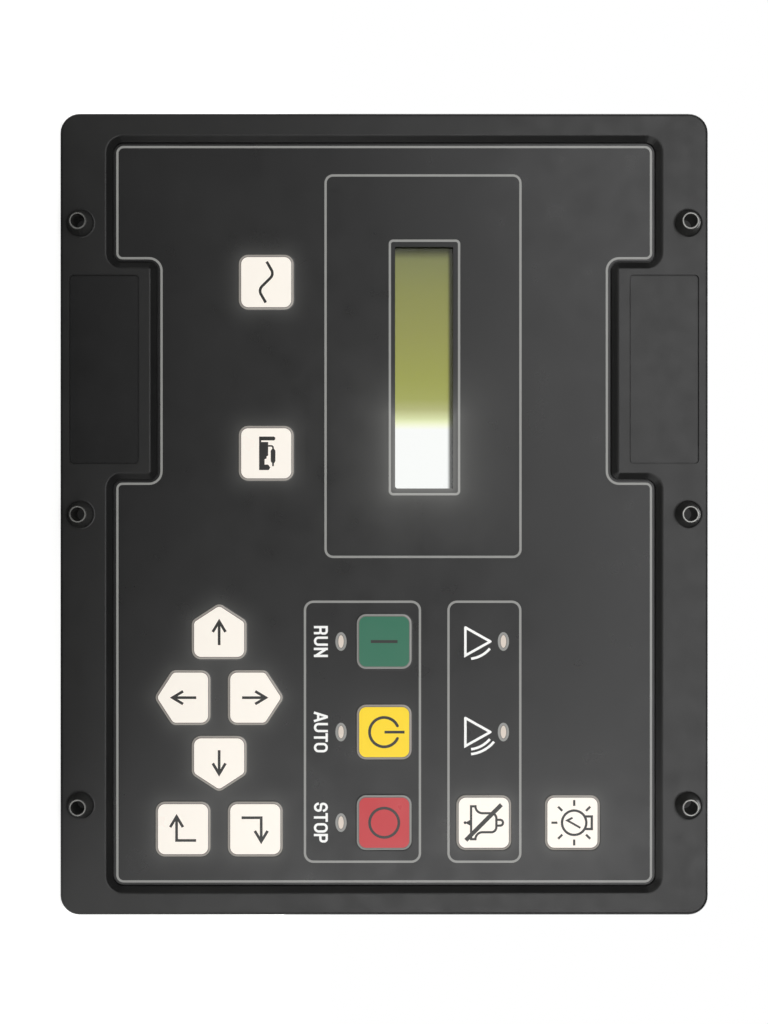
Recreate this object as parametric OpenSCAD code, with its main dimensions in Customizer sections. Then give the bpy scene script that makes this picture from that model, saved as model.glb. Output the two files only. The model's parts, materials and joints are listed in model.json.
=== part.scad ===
// Panel-mounted engine control module with a membrane keypad and a small display.
// X is to the right, Z is up and the face looks toward -Y. The origin is the centre of the
// bolt pattern, on the flange's rear face, which seats on the panel. Sizes are in millimetres.

/* [Bezel] */
// Width of the flange
face_w = 248; // [244:1:300]
// Height of the flange
face_h = 200.5; // [196:0.5:242]
// Thickness of the flange
flange_t = 8; // [7:0.5:10]
// Corner radius of the flange, seen from the front
flange_r = 6; // [3:0.5:8]
// Rounding of the flange's front edge
edge_r = 0.9; // [0.4:0.1:1.4]
// Thickness of the floor behind the keypad
floor_t = 3; // [2.5:0.5:4]

/* [Panel bolts] */
// Distance of the end bolts from the flange's ends
bolt_inset_x = 34; // [30:1:40]
// Distance of the bolt rows from the flange's long edges
bolt_inset_z = 6.25; // [6:0.25:7.5]
// Clearance hole for the panel screws
bolt_hole_d = 4.3; // [4:0.1:4.5]
// Wall of the steel sleeves
sleeve_wall = 0.35; // [0.3:0.05:0.4]
// Height of the conical bosses above the face
boss_h = 5.5; // [3:0.5:7]
// Diameter of a boss at its foot
boss_foot_d = 7.8; // [7:0.2:9]

/* [Keypad recess] */
// Bezel margin beside the overlay, left and right
margin_x = 9.1; // [8:0.1:10]
// Bezel margin above and below the overlay
margin_z = 16.5; // [16:0.25:18]
// Depth of the overlay below the face
overlay_depth = 2; // [1:0.25:2.5]
// Width of the recess's sloped wall
slope_w = 1.8; // [1.5:0.1:1.9]
// Distance of the notches from the overlay's left end
notch_x = 36.4; // [34:0.2:40]
// Width of the notches
notch_w = 68.1; // [66:0.1:76]
// Depth of the notches
notch_d = 13.7; // [11:0.1:14]

/* [Label recesses] */
// Width of a label recess
label_w = 58.6; // [50:0.2:60]
// Height of a label recess
label_h = 21.6; // [18:0.2:22]
// Depth of a label recess
label_depth = 0.5; // [0.4:0.1:1]
// Thickness of the label
label_t = 0.3; // [0.2:0.1:0.4]
// Width of the groove round a label recess's floor
groove_w = 0.45; // [0.4:0.05:0.8]

/* [Keypad layers] */
// Thickness of the printed overlay
overlay_t = 0.6; // [0.4:0.1:1]
// Height of the embossed keys above the overlay
emboss_h = 0.3; // [0.2:0.1:0.6]
// Thickness of the spacer film
spacer_t = 0.5; // [0.4:0.1:0.8]
// Thickness of the circuit film
circuit_t = 0.3; // [0.2:0.1:0.5]
// Side of a key
key_size = 17; // [15:0.5:19]
// Corner radius of a key
key_r = 2.9; // [2:0.1:4]
// Pitch of the key columns on the right
key_pitch = 28.1; // [26:0.1:30]
// Distance of the last key column from the overlay's right end
key_right = 19.2; // [18:0.2:21]
// Diameter of a snap dome
dome_d = 10; // [8:0.5:11]

/* [Display] */
// Width of the display window
window_w = 75; // [60:1:76]
// Height of the display window
window_h = 18; // [14:0.5:20]
// Distance of the window's centre from the overlay's left end
window_x = 69.4; // [68:0.2:76]
// Height of the window's centre above the bolt pattern's centre
window_z = 12.4; // [8:0.2:16]
// Thickness of the clear lens
lens_t = 1.5; // [1:0.1:2]
// Width of the rim that holds the lens
lens_rim = 3; // [2:0.5:4]

/* [Housing] */
// Distance of the skirt from the flange's ends
skirt_inset_x = 16; // [14:1:18]
// Distance of the skirt from the flange's long edges
skirt_inset_z = 19.25; // [18:0.25:22]
// Length of the skirt behind the panel face
skirt_len = 16; // [14:1:24]
// Wall of the skirt and the cover
wall = 3; // [2.5:0.5:4]
// Outer corner radius of the skirt and the cover
skirt_r = 7; // [6:0.5:10]
// Depth of the rear cover
cover_len = 18; // [16:1:26]
// Height of the cooling ribs
rib_h = 3.5; // [2:0.5:6]
// Pitch of the cooling ribs
rib_pitch = 9.5; // [8:0.5:14]

/* [Main board] */
// Thickness of the circuit boards
board_t = 1.6; // [1:0.1:2.4]
// Distance of the main board's front from the flange's rear face
board_y = 11; // [10:0.5:12]

/* [Rear header] */
// Inner width of the header's shroud
socket_w = 84; // [80:1:92]
// Inner height of the header's shroud
socket_h = 28; // [26:1:32]
// Wall of the shroud
shroud_wall = 2.5; // [2:0.5:3]
// Length of the shroud behind the cover
shroud_len = 18; // [14:1:22]
// Height of the header's centre above the bolt pattern's centre
header_z = -36; // [-38:0.5:-32]
// Diameter of a header pin
pin_d = 1.5; // [1:0.1:2]
// Pitch of the header pins
pin_pitch = 4.6; // [4:0.1:4.8]
// Thread diameter of the jackscrew
jack_d = 6; // [5:1:6]

/* [Hidden] */
$fn = 64;

// Clearances: loose is between housed pieces, snug between a piece and its seat, fit round the
// header, and film_gap round the overlay
loose = 1.5;
snug = 0.05;
fit = 0.3;
film_gap = 0.5;
corner_steps = 8;

// Levels along Y, from the front to the rear
face_y = -flange_t;
overlay_y = face_y + overlay_depth;
spacer_y = overlay_y + overlay_t;
circuit_y = spacer_y + spacer_t;
recess_y = circuit_y + circuit_t;
floor_back_y = recess_y + floor_t;
board_back_y = board_y + board_t;
joint_y = skirt_len;
cover_back_y = joint_y + cover_len;
cover_inner_y = cover_back_y - wall;

// Panel bolts
bolt_x = face_w / 2 - bolt_inset_x;
bolt_z = face_h / 2 - bolt_inset_z;
BOLTS = [for (sx = [-1, 0, 1], sz = [-1, 1]) [sx * bolt_x, sz * bolt_z]];
sleeve_r = bolt_hole_d / 2 + sleeve_wall;
boss_top_r = sleeve_r + 0.3;
sleeve_proud = 0.1;

// Overlay outline, anticlockwise from the lower left corner: each row is x, z and corner radius
film_w = face_w - 2 * margin_x;
film_h = face_h - 2 * margin_z;
film_r = 2.9;
mouth_r = 2.5;
notch_r = 2.9;
lip_out = 0.4;
lip_in = 0.35;
lip_drop = 0.38;
notch_left = -film_w / 2 + notch_x;
notch_right = notch_left + notch_w;
notch_mid = (notch_left + notch_right) / 2;
FILM = [
    [-film_w / 2, -film_h / 2, film_r],
    [notch_left, -film_h / 2, mouth_r],
    [notch_left, -film_h / 2 + notch_d, notch_r],
    [notch_right, -film_h / 2 + notch_d, notch_r],
    [notch_right, -film_h / 2, mouth_r],
    [film_w / 2, -film_h / 2, film_r],
    [film_w / 2, film_h / 2, film_r],
    [notch_right, film_h / 2, mouth_r],
    [notch_right, film_h / 2 - notch_d, notch_r],
    [notch_left, film_h / 2 - notch_d, notch_r],
    [notch_left, film_h / 2, mouth_r],
    [-film_w / 2, film_h / 2, film_r]];
label_x = notch_mid - 0.35;
label_z = face_h / 2 - 13.65;
label_r = 1.4;
groove_depth = 0.45;

// Keys: the last column carries the stop key, and the rows are heights above the pattern's centre
last_x = film_w / 2 - key_right;
first_x = last_x - 2 * key_pitch;
mid_x = last_x - key_pitch;
pad_x = film_w / 2 - 58;
pad_z = -51.2;
pad_dx = 20.4;
pad_dz = 11.2;
SQUARE_KEYS = [
    [-film_w / 2 + 42.9, -36.6],
    [-film_w / 2 + 96, -36.6],
    [pad_x + 2 * pad_dx, pad_z - pad_dz],
    [pad_x + 2 * pad_dx, pad_z + pad_dz],
    [first_x, 0],
    [mid_x, 0],
    [last_x, 0],
    [last_x, 30.9],
    [last_x, 58.4]];
// Pointed keys: x, z and the angle that the point faces
POINTED_KEYS = [
    [pad_x - pad_dx, pad_z, 180],
    [pad_x, pad_z - pad_dz, -90],
    [pad_x, pad_z + pad_dz, 90],
    [pad_x + pad_dx, pad_z, 0]];
KEYS = concat(SQUARE_KEYS, [for (k = POINTED_KEYS) [k[0], k[1]]]);
point_len = 6.3;
point_r = 2.2;
LAMPS = [[first_x, -13.4], [mid_x, -13.4], [last_x, -13.4], [first_x, 37], [mid_x, 37]];
dome_h = spacer_t - 0.1;

// Display module behind the window
display_x = -film_w / 2 + window_x;
module_w = window_w + 11;
module_h = window_h + 11;
module_y = floor_back_y + 0.2;
sheet_t = 0.5;
glass_t = 1.6;
light_t = 2.4;
display_board_y = module_y + sheet_t + glass_t + light_t;
display_board_w = module_w + 14;
display_board_h = module_h + 7;
display_post_r = 2.8;
display_screw_r = 1;
DISPLAY_POSTS = [for (sx = [-1, 1], sz = [-1, 1])
    [display_x + sx * (display_board_w / 2 - 3.5), window_z + sz * (display_board_h / 2 - 3.2)]];

// Skirt, cover and the screws that join them
skirt_w = face_w - 2 * skirt_inset_x;
skirt_h = face_h - 2 * skirt_inset_z;
inner_w = skirt_w - 2 * wall;
inner_h = skirt_h - 2 * wall;
inner_r = skirt_r - wall;
post_r = 5.5;
COVER_SCREWS = [for (sx = [-1, 0, 1], sz = [-1, 1])
    [sx * (inner_w / 2 - 5), sz * (inner_h / 2 - 5)]];
screw_r = 2;
head_r = 3.6;
head_h = 2.6;
sink_depth = 5;
insert_r = 2.9;
insert_len = 8;
gasket_w = 4.5;
gasket_t = 1.2;
gasket_gap = 3.5;
cord_w = 1.2;
cord_t = 1;
cord_inset = 0.9;

// Main board, its posts and what it carries
board_w = inner_w - 2 * loose;
board_h = inner_h - 2 * loose;
board_screw_r = 1.5;
board_head_r = 2.9;
board_head_h = 2;
board_post_r = 3.6;
BOARD_POSTS = [for (x = [-board_w / 2 + 14, 10, board_w / 2 - 14], sz = [-1, 1])
    [x, sz * (board_h / 2 - 13)]];
tail_w = 20;
tail_x = pad_x;
tail_z = -20;
tail_slot = 1.2;
ribbon_w = 30;
ribbon_z = window_z - display_board_h / 2 + 4;
socket_len = 4;
socket_t = 4;
processor_at = [-34, 24];
processor_size = 26;
driver_at = [-80, 2];
driver_pitch = 10;
relay_at = [28, 48];
relay_pitch = 17;
relay_size = [13, 12, 18];
capacitor_at = [34, 20];
capacitor_pitch = 15;
capacitor_r = 5.2;
capacitor_h = 13;
inductor_at = [12, 20];

// Rear header
header_w = socket_w + 2 * shroud_wall;
header_h = socket_h + 2 * shroud_wall;
header_r = 4;
header_flange_r = 5;
header_flange_t = 3;
header_flange_w = header_w + 15;
header_flange_h = header_h + 10;
header_screw_inset = 4;
key_rib_w = 3;
key_rib_h = 1.2;
mouth_bead = 0.6;
shroud_end_y = cover_back_y + shroud_len;
block_y = cover_back_y - 3;
block_face_y = cover_back_y + header_flange_t;
pin_tip_y = block_face_y + 6;
jack_wall = 1.2;
jack_post_r = jack_d / 2 + jack_wall + 1.3;
PINS = [for (side = [-1, 1], i = [0:6], j = [-2:2])
    [side * (jack_post_r + 3 + i * pin_pitch), header_z + j * pin_pitch]];
HEADER_SCREWS = [for (sx = [-1, 1], sz = [-1, 1])
    [sx * (header_flange_w / 2 - header_screw_inset),
        header_z + sz * (header_flange_h / 2 - header_screw_inset)]];
vent_x = skirt_w / 2 - 26;
vent_r = 7;
vent_stem_r = 4;

// Corner points of an outline with square corners, grown outward by g, with rounded corners
function along(a, b) = (b - a) / norm(b - a);
function right_of(d) = [d[1], -d[0]];
function outline(corners, g) = [
    for (i = [0:len(corners) - 1])
        let (n = len(corners),
            p = [corners[i][0], corners[i][1]],
            q = corners[(i + n - 1) % n],
            s = corners[(i + 1) % n],
            d0 = along([q[0], q[1]], p),
            d1 = along(p, [s[0], s[1]]),
            convex = d0[0] * d1[1] - d0[1] * d1[0] > 0,
            r = max(corners[i][2] + (convex ? g : -g), 0.1),
            c = p + g * (right_of(d0) + right_of(d1)) - r * d0 + r * d1)
        for (k = [0:corner_steps])
            let (t = 90 * k / corner_steps)
            c - r * cos(t) * d1 + r * sin(t) * d0];
function rect_corners(w, h, r) = [
    [-w / 2, -h / 2, r], [w / 2, -h / 2, r], [w / 2, h / 2, r], [-w / 2, h / 2, r]];

// A closed profile of [growth, y] pairs, clockwise, swept round an outline
module swept_ring(corners, profile) {
    rings = [for (p = profile) [for (q = outline(corners, p[0])) [q[0], p[1], q[1]]]];
    n = len(rings[0]);
    m = len(profile);
    polyhedron(
        points = [for (ring = rings) for (q = ring) q],
        faces = [for (j = [0:m - 1]) for (i = [0:n - 1])
            let (a = j * n + i, b = j * n + (i + 1) % n, up = (j + 1) % m,
                c = up * n + (i + 1) % n, d = up * n + i)
            each [[a, b, c], [a, c, d]]]);
}

// A flat shape drawn in X and Z, solid from y0 to y1
module slab(y0, y1) {
    translate([0, y1, 0]) rotate([90, 0, 0]) linear_extrude(height = y1 - y0) children();
}

module rounded_rect(w, h, r) {
    square([w - 2 * r, h], center = true);
    square([w, h - 2 * r], center = true);
    for (sx = [-1, 1], sz = [-1, 1])
        translate([sx * (w / 2 - r), sz * (h / 2 - r)]) circle(r);
}

// A rounded rectangle with straight-edged corners, which a swept ring can round off exactly
module ring_rect(w, h, r) {
    polygon(outline(rect_corners(w, h, r), 0));
}

module frame_rect(w, h, r, band) {
    difference() {
        rounded_rect(w, h, r);
        rounded_rect(w - 2 * band, h - 2 * band, r - band);
    }
}

// A round bar or hole along Y, at [x, z]
module rod(at, y0, y1, r) {
    translate([at[0], y1, at[1]]) rotate([90, 0, 0]) cylinder(h = y1 - y0, r = r);
}

// A block along Y, centred at [x, z]
module block(at, y0, y1, w, h) {
    translate([at[0] - w / 2, y0, at[1] - h / 2]) cube([w, y1 - y0, h]);
}

// A profile of [radius, height] pairs turned about Y, with height measured toward the front
module turned(at, y, profile) {
    translate([at[0], y, at[1]]) rotate([90, 0, 0]) rotate_extrude() polygon(profile);
}

// A raised conical boss with a filleted foot and a rounded top edge
module boss(at) {
    foot = boss_foot_d / 2;
    fillet = 0.7;
    lip = 0.3;
    turned(at, face_y, concat(
        [[0, -1], [foot + fillet, -1]],
        [for (t = [0:22.5:90]) [foot + fillet * (1 - sin(t)), fillet * (1 - cos(t))]],
        [[boss_top_r, boss_h - lip], [boss_top_r - lip * 0.3, boss_h - lip * 0.3],
            [boss_top_r - lip, boss_h], [0, boss_h]]));
}

// Outline of one pointed key, facing +X
module pointed_key_2d(grow) {
    half = key_size / 2 + grow;
    hull() {
        for (s = [-1, 1]) {
            translate([-half + key_r, s * (half - key_r)]) circle(key_r, $fn = 32);
            translate([half - point_len, s * (half - point_r)]) circle(point_r, $fn = 32);
        }
        translate([half - point_r, 0]) circle(point_r, $fn = 32);
    }
}

module key_outlines(grow) {
    for (k = SQUARE_KEYS)
        translate(k) rounded_rect(key_size + 2 * grow, key_size + 2 * grow, key_r);
    for (k = POINTED_KEYS)
        translate([k[0], k[1]]) rotate(k[2]) pointed_key_2d(grow);
}

module window_2d(grow) {
    translate([display_x, window_z]) rounded_rect(window_w + 2 * grow, window_h + 2 * grow, 0.8 + grow);
}

// Cored pockets in the rear of the flange, between the bolts
module flange_pockets() {
    strip = 5.8;
    rib = 1.8;
    pad = 6.5;
    span = (bolt_x - 2 * pad - 2 * rib) / 3;
    for (sz = [-1, 1], start = [-bolt_x + pad, pad], i = [0:2])
        translate([start + span / 2 + i * (span + rib), sz * bolt_z])
            rounded_rect(span, strip, 1);
}

module front_bezel() {
    top_g = slope_w + film_gap;
    slope = [
        [top_g + lip_out, face_y - 1],
        [top_g + lip_out, face_y],
        for (t = [0.25, 0.5, 0.75])
            [top_g + lip_out * (1 - t) * (1 - t) - lip_in * t * t, face_y + lip_drop * t * t],
        [top_g - lip_in, face_y + lip_drop],
        [film_gap, overlay_y],
        [-1, overlay_y],
        [-1, face_y - 1]];
    rim = [
        [0.5, face_y - 0.5],
        [0.5, face_y + edge_r],
        for (t = [0:18:90]) [-edge_r * (1 - cos(t)), face_y + edge_r * (1 - sin(t))],
        [-edge_r, face_y - 0.5]];
    color([0.13, 0.13, 0.13]) difference() {
        union() {
            difference() {
                union() {
                    slab(face_y, 0) ring_rect(face_w, face_h, flange_r);
                    slab(-1, joint_y) ring_rect(skirt_w, skirt_h, skirt_r);
                    for (b = BOLTS) boss(b);
                }
                slab(floor_back_y, joint_y + 1) rounded_rect(inner_w, inner_h, inner_r);
            }
            for (p = COVER_SCREWS) rod(p, floor_back_y - 1, joint_y, post_r);
            for (p = BOARD_POSTS) rod(p, floor_back_y - 1, board_y, board_post_r);
            for (p = DISPLAY_POSTS) rod(p, floor_back_y - 1, display_board_y, display_post_r);
        }
        slab(face_y - 1, recess_y) polygon(outline(FILM, film_gap));
        swept_ring(FILM, slope);
        swept_ring(rect_corners(face_w, face_h, flange_r), rim);
        for (sz = [-1, 1]) {
            slab(face_y - 1, face_y + label_depth)
                translate([label_x, sz * label_z]) rounded_rect(label_w, label_h, label_r);
            slab(face_y, face_y + label_depth + groove_depth)
                translate([label_x, sz * label_z]) frame_rect(label_w, label_h, label_r, groove_w);
        }
        for (b = BOLTS) rod(b, face_y - boss_h - 1, 1, sleeve_r + snug);
        slab(recess_y - 1, recess_y + lens_t) window_2d(lens_rim + snug);
        slab(recess_y, floor_back_y + 1) window_2d(0);
        block([tail_x, tail_z], recess_y - 1, floor_back_y + 1, tail_w + 2, tail_slot);
        slab(-gasket_t, 1) frame_rect(skirt_w + 2 * (gasket_gap + gasket_w),
            skirt_h + 2 * (gasket_gap + gasket_w), skirt_r + gasket_gap + gasket_w, gasket_w);
        slab(-4.5, 1) flange_pockets();
        for (p = COVER_SCREWS) rod(p, joint_y - insert_len - 3, joint_y + 1, insert_r + snug);
        for (p = BOARD_POSTS) rod(p, board_y - 8, board_y + 1, board_screw_r + snug);
        for (p = DISPLAY_POSTS) rod(p, display_board_y - 4, display_board_y + 1, display_screw_r + snug);
        slab(joint_y - cord_t, joint_y + 1)
            frame_rect(skirt_w - 2 * cord_inset, skirt_h - 2 * cord_inset, skirt_r - cord_inset,
                cord_w);
    }
}

module mounting_sleeves() {
    color([0.72, 0.72, 0.7]) for (b = BOLTS) difference() {
        rod(b, face_y - boss_h - sleeve_proud, 0, sleeve_r);
        rod(b, face_y - boss_h - 1, 1, bolt_hole_d / 2);
    }
}

module flange_gasket() {
    color([0.08, 0.08, 0.08]) slab(-gasket_t, 0)
        frame_rect(skirt_w + 2 * (gasket_gap + gasket_w - snug),
            skirt_h + 2 * (gasket_gap + gasket_w - snug),
            skirt_r + gasket_gap + gasket_w - snug, gasket_w - 2 * snug);
}

module lower_label() {
    color([0.05, 0.05, 0.05]) slab(face_y + label_depth - label_t, face_y + label_depth)
        translate([label_x, -label_z])
            rounded_rect(label_w - 2 * groove_w, label_h - 2 * groove_w, label_r - groove_w);
}

module graphic_overlay() {
    color([0.11, 0.11, 0.12]) difference() {
        union() {
            slab(overlay_y, spacer_y) polygon(outline(FILM, 0));
            slab(overlay_y - emboss_h, overlay_y + overlay_t / 2) key_outlines(0);
        }
        slab(overlay_y - 1, spacer_y + 1) window_2d(0);
    }
}

module dome_spacer() {
    color([0.75, 0.75, 0.72]) slab(spacer_y, circuit_y) difference() {
        polygon(outline(FILM, -0.5));
        window_2d(0.3);
        for (k = KEYS) translate(k) circle(d = key_size - 2);
        for (p = LAMPS) translate(p) square([6, 3.6], center = true);
    }
}

module snap_domes() {
    color([0.8, 0.8, 0.78]) for (k = KEYS)
        turned(k, circuit_y, [[0, dome_h - 0.12], [dome_d / 4, dome_h * 0.8 - 0.12],
            [dome_d / 2 - 0.4, 0], [dome_d / 2, 0], [dome_d / 4, dome_h * 0.8], [0, dome_h]]);
}

module key_circuit() {
    color([0.62, 0.5, 0.25]) union() {
        slab(circuit_y, recess_y) difference() {
            polygon(outline(FILM, -0.5));
            window_2d(0.3);
        }
        block([tail_x, tail_z], recess_y - circuit_t / 2, board_y - 1, tail_w, 0.3);
    }
}

module key_lamps() {
    lamp_at = dome_d / 2 + 1.3;
    color([0.95, 0.93, 0.8]) for (k = KEYS)
        block([k[0] + lamp_at, k[1]], circuit_y - 0.4, circuit_y, 1, 1.6);
}

module status_lamps() {
    color([0.95, 0.9, 0.75]) for (p = LAMPS) block(p, circuit_y - 0.45, circuit_y, 3.2, 1.6);
}

module display_window() {
    color([0.85, 0.9, 0.9, 0.4]) slab(recess_y, recess_y + lens_t) window_2d(lens_rim);
}

module display_frame() {
    color([0.1, 0.1, 0.1]) difference() {
        block([display_x, window_z], module_y, display_board_y, module_w, module_h);
        block([display_x, window_z], module_y + sheet_t, display_board_y + 1,
            module_w - 2 * sheet_t, module_h - 2 * sheet_t);
        slab(module_y - 1, display_board_y) window_2d(0.5);
    }
}

module display_glass() {
    color([0.6, 0.6, 0.32]) block([display_x, window_z], module_y + sheet_t,
        module_y + sheet_t + glass_t, module_w - 2 * sheet_t - 0.2, module_h - 2 * sheet_t - 0.2);
}

module display_light() {
    color([0.9, 0.92, 0.7]) block([display_x, window_z], module_y + sheet_t + glass_t,
        display_board_y, module_w - 2 * sheet_t - 0.2, module_h - 2 * sheet_t - 0.2);
}

module display_board() {
    color([0.1, 0.35, 0.2]) difference() {
        union() {
            block([display_x, window_z], display_board_y, display_board_y + board_t,
                display_board_w, display_board_h);
            for (i = [-1, 1]) rod([display_x + 20 * i, window_z + 2],
                display_board_y + board_t - 0.5, display_board_y + board_t + 1, 6);
        }
        for (p = DISPLAY_POSTS) rod(p, display_board_y - 1, display_board_y + board_t + 1, display_screw_r + 0.2);
    }
}

module display_screws() {
    back = display_board_y + board_t;
    color([0.75, 0.75, 0.72]) for (p = DISPLAY_POSTS) union() {
        rod(p, display_board_y - 3.5, back + 0.2, display_screw_r);
        rod(p, back, back + 1.4, 2 * display_screw_r);
    }
}

module display_ribbon() {
    color([0.8, 0.78, 0.7]) block([display_x, ribbon_z], display_board_y + board_t,
        board_y - 1, ribbon_w, 0.3);
}

module main_board() {
    color([0.08, 0.3, 0.18]) slab(board_y, board_back_y) difference() {
        rounded_rect(board_w, board_h, 2.5);
        for (p = COVER_SCREWS) translate(p) circle(post_r + 0.8);
        for (p = BOARD_POSTS) translate(p) circle(board_screw_r + 0.2);
    }
}

module board_screws() {
    color([0.75, 0.75, 0.72]) for (p = BOARD_POSTS) union() {
        rod(p, board_y - 7, board_back_y + 0.2, board_screw_r);
        rod(p, board_back_y, board_back_y + board_head_h, board_head_r);
    }
}

module processor_chip() {
    color([0.1, 0.1, 0.1])
        block(processor_at, board_back_y, board_back_y + 2.2, processor_size, processor_size);
}

module driver_chips() {
    color([0.12, 0.12, 0.12]) for (i = [0:3])
        block(driver_at + [i * driver_pitch, 0], board_back_y, board_back_y + 1.8, 6, 10);
}

// Moulded cases with bevelled long edges
module relays() {
    bevel = 1.2;
    half = relay_size[0] / 2;
    top = relay_size[1];
    color([0.15, 0.15, 0.16]) for (i = [0:3])
        translate([relay_at[0] + i * relay_pitch, board_back_y, relay_at[1] - relay_size[2] / 2])
            linear_extrude(height = relay_size[2])
                polygon([[-half, 0], [half, 0], [half, top - bevel], [half - bevel, top],
                    [-half + bevel, top], [-half, top - bevel]]);
}

// Round cans with the crimp that holds the seal near the foot
module capacitors() {
    crimp = 0.6;
    edge = 0.6;
    r = capacitor_r;
    h = capacitor_h;
    color([0.2, 0.2, 0.25]) for (i = [0:3])
        turned(capacitor_at + [i * capacitor_pitch, 0], board_back_y, [
            [0, 0], [r, 0], [r, -h / 8], [r - crimp, -h / 8 - crimp], [r, -h / 8 - 2 * crimp],
            [r, edge - h], [r - edge, -h], [0, -h]]);
}

// A wire-wound drum: a waist between two flanges
module power_inductor() {
    drum_r = 7;
    waist_r = 5;
    drum_h = 11;
    flange = 1.5;
    color([0.55, 0.33, 0.15]) turned(inductor_at, board_back_y, [
        [0, 0], [drum_r, 0], [drum_r, -flange], [waist_r, -flange - 1],
        [waist_r, flange + 1 - drum_h], [drum_r, flange - drum_h], [drum_r, -drum_h], [0, -drum_h]]);
}

module board_sockets() {
    color([0.9, 0.88, 0.8]) for (s = [[tail_x, tail_z, tail_w], [display_x, ribbon_z, ribbon_w]])
        difference() {
            block([s[0], s[1]], board_y - socket_len, board_y, s[2] + 6, socket_t);
            block([s[0], s[1]], board_y - socket_len - 1, board_y - 0.8, s[2] + 0.4, 0.5);
        }
}

module threaded_inserts() {
    color([0.75, 0.6, 0.3]) for (p = COVER_SCREWS) difference() {
        rod(p, joint_y - insert_len, joint_y, insert_r);
        rod(p, joint_y - insert_len - 1, joint_y + 1, screw_r + snug);
    }
}

module cover_gasket() {
    color([0.1, 0.1, 0.1]) slab(joint_y - cord_t, joint_y)
        frame_rect(skirt_w - 2 * (cord_inset + snug), skirt_h - 2 * (cord_inset + snug),
            skirt_r - cord_inset - snug, cord_w - 2 * snug);
}

// One cooling rib: a drafted bar that stands on the cover's back
module cooling_rib(x) {
    foot = 2.6;
    tip = 1.6;
    translate([x, cover_back_y - 0.5, -2])
        linear_extrude(height = inner_h / 2 - 10)
            polygon([[-foot / 2, 0], [foot / 2, 0], [tip / 2, rib_h + 0.5], [-tip / 2, rib_h + 0.5]]);
}

module rear_cover() {
    back_edge = 2;
    rib_count = floor((inner_w / 2 - 8) / rib_pitch);
    rim = [
        [0.5, cover_back_y - back_edge],
        [0.5, cover_back_y + 0.5],
        [-back_edge, cover_back_y + 0.5],
        for (t = [0:18:90])
            [-back_edge * (1 - sin(t)), cover_back_y - back_edge * (1 - cos(t))]];
    color([0.16, 0.16, 0.16]) difference() {
        union() {
            difference() {
                slab(joint_y, cover_back_y) ring_rect(skirt_w, skirt_h, skirt_r);
                slab(joint_y - 1, cover_inner_y) rounded_rect(inner_w, inner_h, inner_r);
                swept_ring(rect_corners(skirt_w, skirt_h, skirt_r), rim);
            }
            for (p = COVER_SCREWS) rod(p, joint_y, cover_back_y - 1, post_r);
            for (p = HEADER_SCREWS) rod(p, cover_inner_y - 4, cover_back_y - 1, 4);
            for (i = [-rib_count:rib_count]) cooling_rib(i * rib_pitch);
        }
        for (p = COVER_SCREWS) {
            rod(p, joint_y - 1, cover_back_y, screw_r + 0.25);
            rod(p, cover_back_y - sink_depth, cover_back_y + 1, head_r + 0.4);
        }
        slab(cover_inner_y - 1, cover_back_y + 1) translate([0, header_z])
            rounded_rect(header_w + 2 * fit, header_h + 2 * fit, header_r);
        for (p = HEADER_SCREWS) rod(p, cover_inner_y - 2.5, cover_back_y + 1, board_screw_r + snug);
        rod([vent_x, header_z], cover_inner_y - 1, cover_back_y + 1, vent_stem_r + snug);
    }
}

module cover_screws() {
    seat = cover_back_y - sink_depth;
    color([0.7, 0.7, 0.68]) for (p = COVER_SCREWS) difference() {
        union() {
            rod(p, joint_y - insert_len + 0.5, seat + 0.2, screw_r);
            rod(p, seat, seat + head_h, head_r);
        }
        rod(p, seat + 1.1, seat + head_h + 1, 1.5, $fn = 6);
    }
}

// A rib along the shroud's outer wall that lets the plug on one way only, bevelled at its end.
// side is 1 on the upper wall and -1 on the lower one.
module key_rib(x, side) {
    wall_z = header_h / 2;
    end = shroud_end_y - 3;
    translate([x - key_rib_w / 2, 0, header_z]) rotate([90, 0, 90])
        linear_extrude(height = key_rib_w)
            polygon([[block_face_y - 0.5, side * (wall_z - 0.5)],
                [block_face_y - 0.5, side * (wall_z + key_rib_h)],
                [end - key_rib_h, side * (wall_z + key_rib_h)],
                [end, side * wall_z],
                [end, side * (wall_z - 0.5)]]);
}

module header_shell() {
    color([0.1, 0.1, 0.1]) difference() {
        union() {
            slab(cover_back_y, block_face_y) translate([0, header_z])
                rounded_rect(header_flange_w, header_flange_h, header_flange_r);
            slab(block_y, shroud_end_y) translate([0, header_z])
                rounded_rect(header_w, header_h, header_r);
            slab(shroud_end_y - 2, shroud_end_y) translate([0, header_z])
                rounded_rect(header_w + 2 * mouth_bead, header_h + 2 * mouth_bead,
                    header_r + mouth_bead);
            for (x = [-socket_w / 4, socket_w / 4]) key_rib(x, 1);
            key_rib(socket_w / 3, -1);
        }
        slab(block_y - 1, shroud_end_y + 1) translate([0, header_z])
            rounded_rect(socket_w, socket_h, header_r - shroud_wall);
        for (p = HEADER_SCREWS) rod(p, cover_back_y - 1, block_face_y + 1, 1.7);
        slab(cover_back_y - 1, cover_back_y + cord_t) translate([0, header_z])
            frame_rect(header_w + 5, header_h + 5, header_r + 1.5, cord_w);
    }
}

module header_seal() {
    color([0.75, 0.3, 0.15]) slab(cover_back_y, cover_back_y + cord_t) translate([0, header_z])
        frame_rect(header_w + 5 - 2 * snug, header_h + 5 - 2 * snug, header_r + 1.5 - snug,
            cord_w - 2 * snug);
}

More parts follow.
